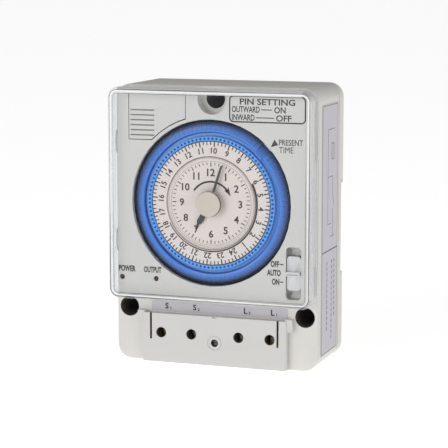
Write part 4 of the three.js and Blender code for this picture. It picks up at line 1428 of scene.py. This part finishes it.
@dataclass
class Casing:
    """The two case shells, the terminal cover and the clear cover, with painted shade in the holes, a painted
    reflection on the clear walls and a painted dark reflection on the clear rims.
    """

    shop: Workshop
    bore_half: float = 4.0
    cover_corner: float = 4.0
    slit_x: float = 25.6
    slit_half: float = 0.5
    groove: float = 0.35
    cover_rear: float = -33.7
    cover_bevel: float = 1.1
    finger_step: tuple[float, float] = (40.0, 80.0)
    step_depth: float = 1.2
    wall_bore_floor: float = -32.0
    screw_half: float = 2.2
    slit_half_length: float = 6.0
    slit_drop: float = 5.0
    band: float = 1.1
    band_mm: float = 0.02
    cover_edge: float = 0.4
    # Painted edge lines on the clear cover's front, dark reflections and one highlight: how far in, how wide
    # and how much the width sways, and how often it sways.
    dark_lines: tuple[tuple[float, float, float], ...] = ((0.95, 0.26, 0.5), (2.35, 0.13, 0.8))
    bright_line: tuple[float, float, float] = (1.45, 0.5, 0.25)
    sways: float = 3.0
    sway_shift: float = 9.0
    # Painted wall lines, dark reflections and highlights: how far from the wall's rear edge, and how wide.
    dark_walls: tuple[tuple[float, ...], float] = ((0.15, 1.15), 0.22)
    bright_walls: tuple[tuple[float, ...], float] = ((0.6,), 0.6)
    long_run: float = 5.0
    groove_play: float = 0.05

    def screw_ways(self) -> list[Trim]:
        """Painted shade on the faces of the three wall-screw holes, at the middles of the record's openings.
        """
        trims = []
        for opening in self.shop.frame["record"]["physics"]["openings"]:
            if opening["name"].startswith("wall_screw"):
                middle = (np.mean(opening["box_m"], axis=0) - self.shop.bench.origin) / MM
                half = self.bore_half
                hole = in_hole(middle[0], middle[2], half, half, self.wall_bore_floor)
                trims.append(Trim(Finish.BORE, hole))
        return trims

    def terminal_ways(self) -> list[Trim]:
        """Painted shade on the faces of the screw holes and of the two slits in the terminal cover."""
        trims = []
        for node in ("cover_screw", *[f"terminal_screw_{number}" for number in range(1, 5)]):
            low, high = self.shop.bench.node(node)
            middle = (low + high) / 2
            hole = in_hole(middle[0], middle[2], self.screw_half, self.screw_half)
            trims.append(Trim(Finish.BORE, hole))
        _, high = self.shop.bench.node("terminal_cover")
        for x in (-self.slit_x, self.slit_x):
            slit = in_hole(x, high[2] - self.slit_drop, self.slit_half, self.slit_half_length)
            trims.append(Trim(Finish.BORE, slit))
        return trims

    def edge_line(self, inset: float, width: float, sway: float) -> Shape:
        """A painted line on the clear cover's front, along its rounded outline, for a dark reflection and for
        a highlight alike.

        Its width swells and shrinks with the sine of three times the way round, as light caught in an edge.
        Long sides of the outline are cut into short runs for that, and the arcs' chords stay whole.
        """
        low, high = self.shop.bench.node("clear_cover")
        size = high - low - 2 * inset
        loop = rounded_loop(size[0], size[2], self.cover_corner - inset, 8)
        runs = [
            np.linspace(start, end, 24, endpoint=False) for start, end in zip(loop, np.roll(loop, -1, axis=0))
        ]
        path = np.vstack([run if np.ptp(run, axis=0).max() > self.long_run else run[:1] for run in runs])
        way = np.arctan2(path[:, 1], path[:, 0])
        widths = width * (1 + sway * np.sin(self.sways * way + inset * self.sway_shift))
        middle = (low + high) / 2
        flat = strip(path, widths, PRINT_MM, closed=True)
        return flat.placed((middle[0], low[1], middle[2]), RIGHT, UP)

    def top_band(self) -> Shape:
        """A painted highlight: the pale band along the clear cover's top, where its front meets the thick
        wall above.
        """
        low, high = self.shop.bench.node("clear_cover")
        left, right = low[0] + self.cover_corner, high[0] - self.cover_corner
        bevel = self.cover_bevel
        flat = line((left, 0), (right, 0), self.band, self.band_mm)
        flat = flat.placed((0, low[1], high[2] - bevel - self.band / 2), RIGHT, UP)
        back_and_up = (0.0, np.sqrt(0.5), np.sqrt(0.5))
        sloped = line((left, 0), (right, 0), bevel * np.sqrt(2), self.band_mm)
        sloped = sloped.placed((0, low[1] + bevel / 2, high[2] - bevel / 2), RIGHT, back_and_up)
        return joined([flat, sloped])

    def wall_lines(self, insets: Sequence[float], width: float) -> Shape:
        """Upright painted lines of dark reflection and highlight on the clear cover's right wall, each at a
        distance from the wall's rear edge.

        The wall is narrower between the two ends of its finger step, and the lines follow it.
        """
        low, high = self.shop.bench.node("clear_cover")
        rear = self.cover_rear
        step_low, step_high = self.finger_step
        stretches = [
            (low[2] + self.cover_corner, step_low, rear),
            (step_low, step_high, rear - self.step_depth),
            (step_high, high[2] - self.cover_corner, rear),
        ]
        runs = [
            line((edge - inset, start), (edge - inset, end), width, PRINT_MM)
            for inset in insets for start, end, edge in stretches
        ]
        return joined(runs).placed((high[0], 0, 0), BACK, UP)

    def caught_light(self) -> None:
        """Painted dark reflections and painted highlights that run round a moulded clear edge, as light
        caught in it.
        """
        edges = [self.edge_line(*edge) for edge in self.dark_lines]
        dark = joined([*edges, self.wall_lines(*self.dark_walls)])
        bright = joined([self.edge_line(*self.bright_line), self.wall_lines(*self.bright_walls)])
        body = self.shop.body_of("clear_cover")
        for name, shape, finish in (
            ("cover_painted_dark_reflections", dark, Finish.EDGE_DARK),
            ("cover_painted_highlight", bright, Finish.EDGE_LIGHT),
            ("cover_painted_top_highlight", self.top_band(), Finish.EDGE_PALE),
        ):
            self.shop.piece(name, shape, finish, body, "clear_plastic", smooth=False)

    def in_groove(self, corners: np.ndarray, normal: np.ndarray) -> bool:
        """Whether a face is the floor or wall of a grip groove in the battery door."""
        low, _ = self.shop.bench.node("battery_door")
        return abs(corners[:, 1].max() - low[1] - self.groove) < self.groove_play

    def build(self) -> None:
        """Finishes the shells, the three covers and the painted lines of the clear one."""
        self.caught_light()
        self.shop.refined("front_housing", trims=self.screw_ways())
        self.shop.refined("rear_cover", trims=self.screw_ways())
        self.shop.refined("terminal_cover", trims=self.terminal_ways())
        # Painted shade in the battery door's grip grooves.
        self.shop.refined("battery_door", trims=[Trim(Finish.GROOVE_GREY, self.in_groove)])
        # A painted reflection on the clear walls and a painted dark reflection on the rounded rims.
        walls = [Trim(Finish.CLEAR_WALL, is_wall)]
        self.shop.refined("clear_cover", edge_mm=self.cover_edge, trims=walls, rim=Finish.CLEAR_RIM)


@dataclass
class Lamp:
    """An indicator lamp: a domed lens on two legs."""

    shop: Workshop
    node: str
    finish: Finish
    rise: float = 0.7
    lens_back: float = -31.0
    leg_half: float = 0.2
    leg_off: float = 0.45
    tip: float = 0.01

    def build(self) -> None:
        """Turns the lens, whose front is a quarter ellipse, and adds its legs."""
        low, high = self.shop.bench.node(self.node)
        radius = (high[0] - low[0]) / 2
        sweep = np.linspace(0, np.pi / 2, 9)
        dome = np.column_stack([
            np.maximum(radius * np.sin(sweep), self.tip),
            low[1] + self.rise * (1 - np.cos(sweep)),
        ])
        back = [[radius, self.lens_back], [self.tip, self.lens_back]]
        lens = revolved(np.vstack([dome, back]), 0, 360, 28)
        side, reach = self.leg_half, high[1] - self.lens_back
        square = np.array([[-side, -side], [side, -side], [side, side], [-side, side]])
        legs = [
            slab(square, -reach).placed((0, self.lens_back, dz), RIGHT, UP)
            for dz in (-self.leg_off, self.leg_off)
        ]
        whole = joined([lens, *legs])
        whole.points += (low + high) / 2 * np.array([1, 0, 1])
        self.shop.piece(f"{self.node}_lens", whole, self.finish, "case", "led_red", [self.node])


@dataclass
class Studio:
    """The pale floor, the soft lights and the camera."""

    bench: Bench
    lens_mm: float = 144.0
    sensor_mm: float = 36.0
    clip_end: float = 100.0
    place: tuple[float, float, float] = (224.53, -667.52, 154.64)
    away: tuple[float, float, float] = (0.3259, -0.9339, 0.1471)
    right: tuple[float, float, float] = (0.9442, 0.3295, 0.0)
    floor_reach: float = 15.0
    lamp_size: float = 0.8
    key_at: tuple[float, float, float] = (-0.7, -1.4, 0.35)
    key_power: float = 5.8
    fill_at: tuple[float, float, float] = (1.4, -0.5, 0.3)
    fill_power: float = 4.0
    surroundings: float = 0.36

    def camera(self) -> None:
        """Places the camera in front, a little to the right and above."""
        data = bpy.data.cameras.new("camera")
        data.lens = self.lens_mm
        data.sensor_width = self.sensor_mm
        data.clip_end = self.clip_end
        camera = bpy.data.objects.new("camera", data)
        bpy.context.scene.collection.objects.link(camera)
        away, right = Vector(self.away).normalized(), Vector(self.right).normalized()
        axes = Matrix((right, away.cross(right), away)).transposed()
        camera.matrix_world = Matrix.Translation(self.bench.point(*self.place)) @ axes.to_4x4()
        bpy.context.scene.camera = camera

    def lamp(self, name: str, at: Sequence[float], power: float) -> None:
        """Adds a square soft light in metres about the object, aimed at its middle."""
        data = bpy.data.lights.new(name, "AREA")
        data.size = self.lamp_size
        data.energy = power
        lamp = bpy.data.objects.new(name, data)
        bpy.context.scene.collection.objects.link(lamp)
        lamp.location = Vector(at)
        lamp.rotation_mode = "QUATERNION"
        lamp.rotation_quaternion = Vector(at).to_track_quat("Z", "Y")

    def floor(self) -> None:
        """Lays a wide pale floor under the object."""
        reach, height = self.floor_reach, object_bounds()[0].z
        mesh = bpy.data.meshes.new("floor")
        corners = [(x * reach, y * reach, height) for x, y in ((-1, -1), (1, -1), (1, 1), (-1, 1))]
        mesh.from_pydata(corners, [], [(0, 1, 2, 3)])
        mesh.materials.append(Finish.FLOOR.material)
        floor = bpy.data.objects.new("floor", mesh)
        bpy.context.scene.collection.objects.link(floor)
        floor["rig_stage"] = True

    def build(self) -> None:
        """Sets up the camera, lights, floor and surroundings."""
        self.camera()
        self.floor()
        self.lamp("key", self.key_at, self.key_power)
        self.lamp("fill", self.fill_at, self.fill_power)
        world = bpy.data.worlds.new("surroundings")
        world.use_nodes = True
        sky = world.node_tree.nodes["Background"]
        sky.inputs["Color"].default_value = (1.0, 1.0, 1.0, 1.0)
        sky.inputs["Strength"].default_value = self.surroundings
        bpy.context.scene.world = world
        bpy.context.scene.view_settings.view_transform = "Standard"


def main() -> None:
    """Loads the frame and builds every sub-assembly."""
    logging.basicConfig(level=logging.INFO, format="%(name)s: %(message)s")
    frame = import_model()
    bench = Bench.from_frame()
    shop = Workshop(frame, bench)
    TimeRing(shop).build()
    DialPrint(shop).build()
    SettingKnob(shop).build()
    PanelPrint(shop).build()
    Lamp(shop, "power_led", Finish.BLACK).build()
    Lamp(shop, "output_led", Finish.LED_RED).build()
    SlideKnob(shop).build()
    Casing(shop).build()
    special = {"mode_switch_body": Finish.RECESS_GREY, "cover_screw": Finish.DULL_STEEL}
    for node in ("minute_hand", "hour_hand"):
        shop.refined(node, edge_mm=HAND_EDGE_MM)
    for node in sorted(set(frame["nodes"]) - shop.done):
        shop.refined(node, special.get(node))
    Studio(bench).build()


if __name__ == "__main__":
    main()
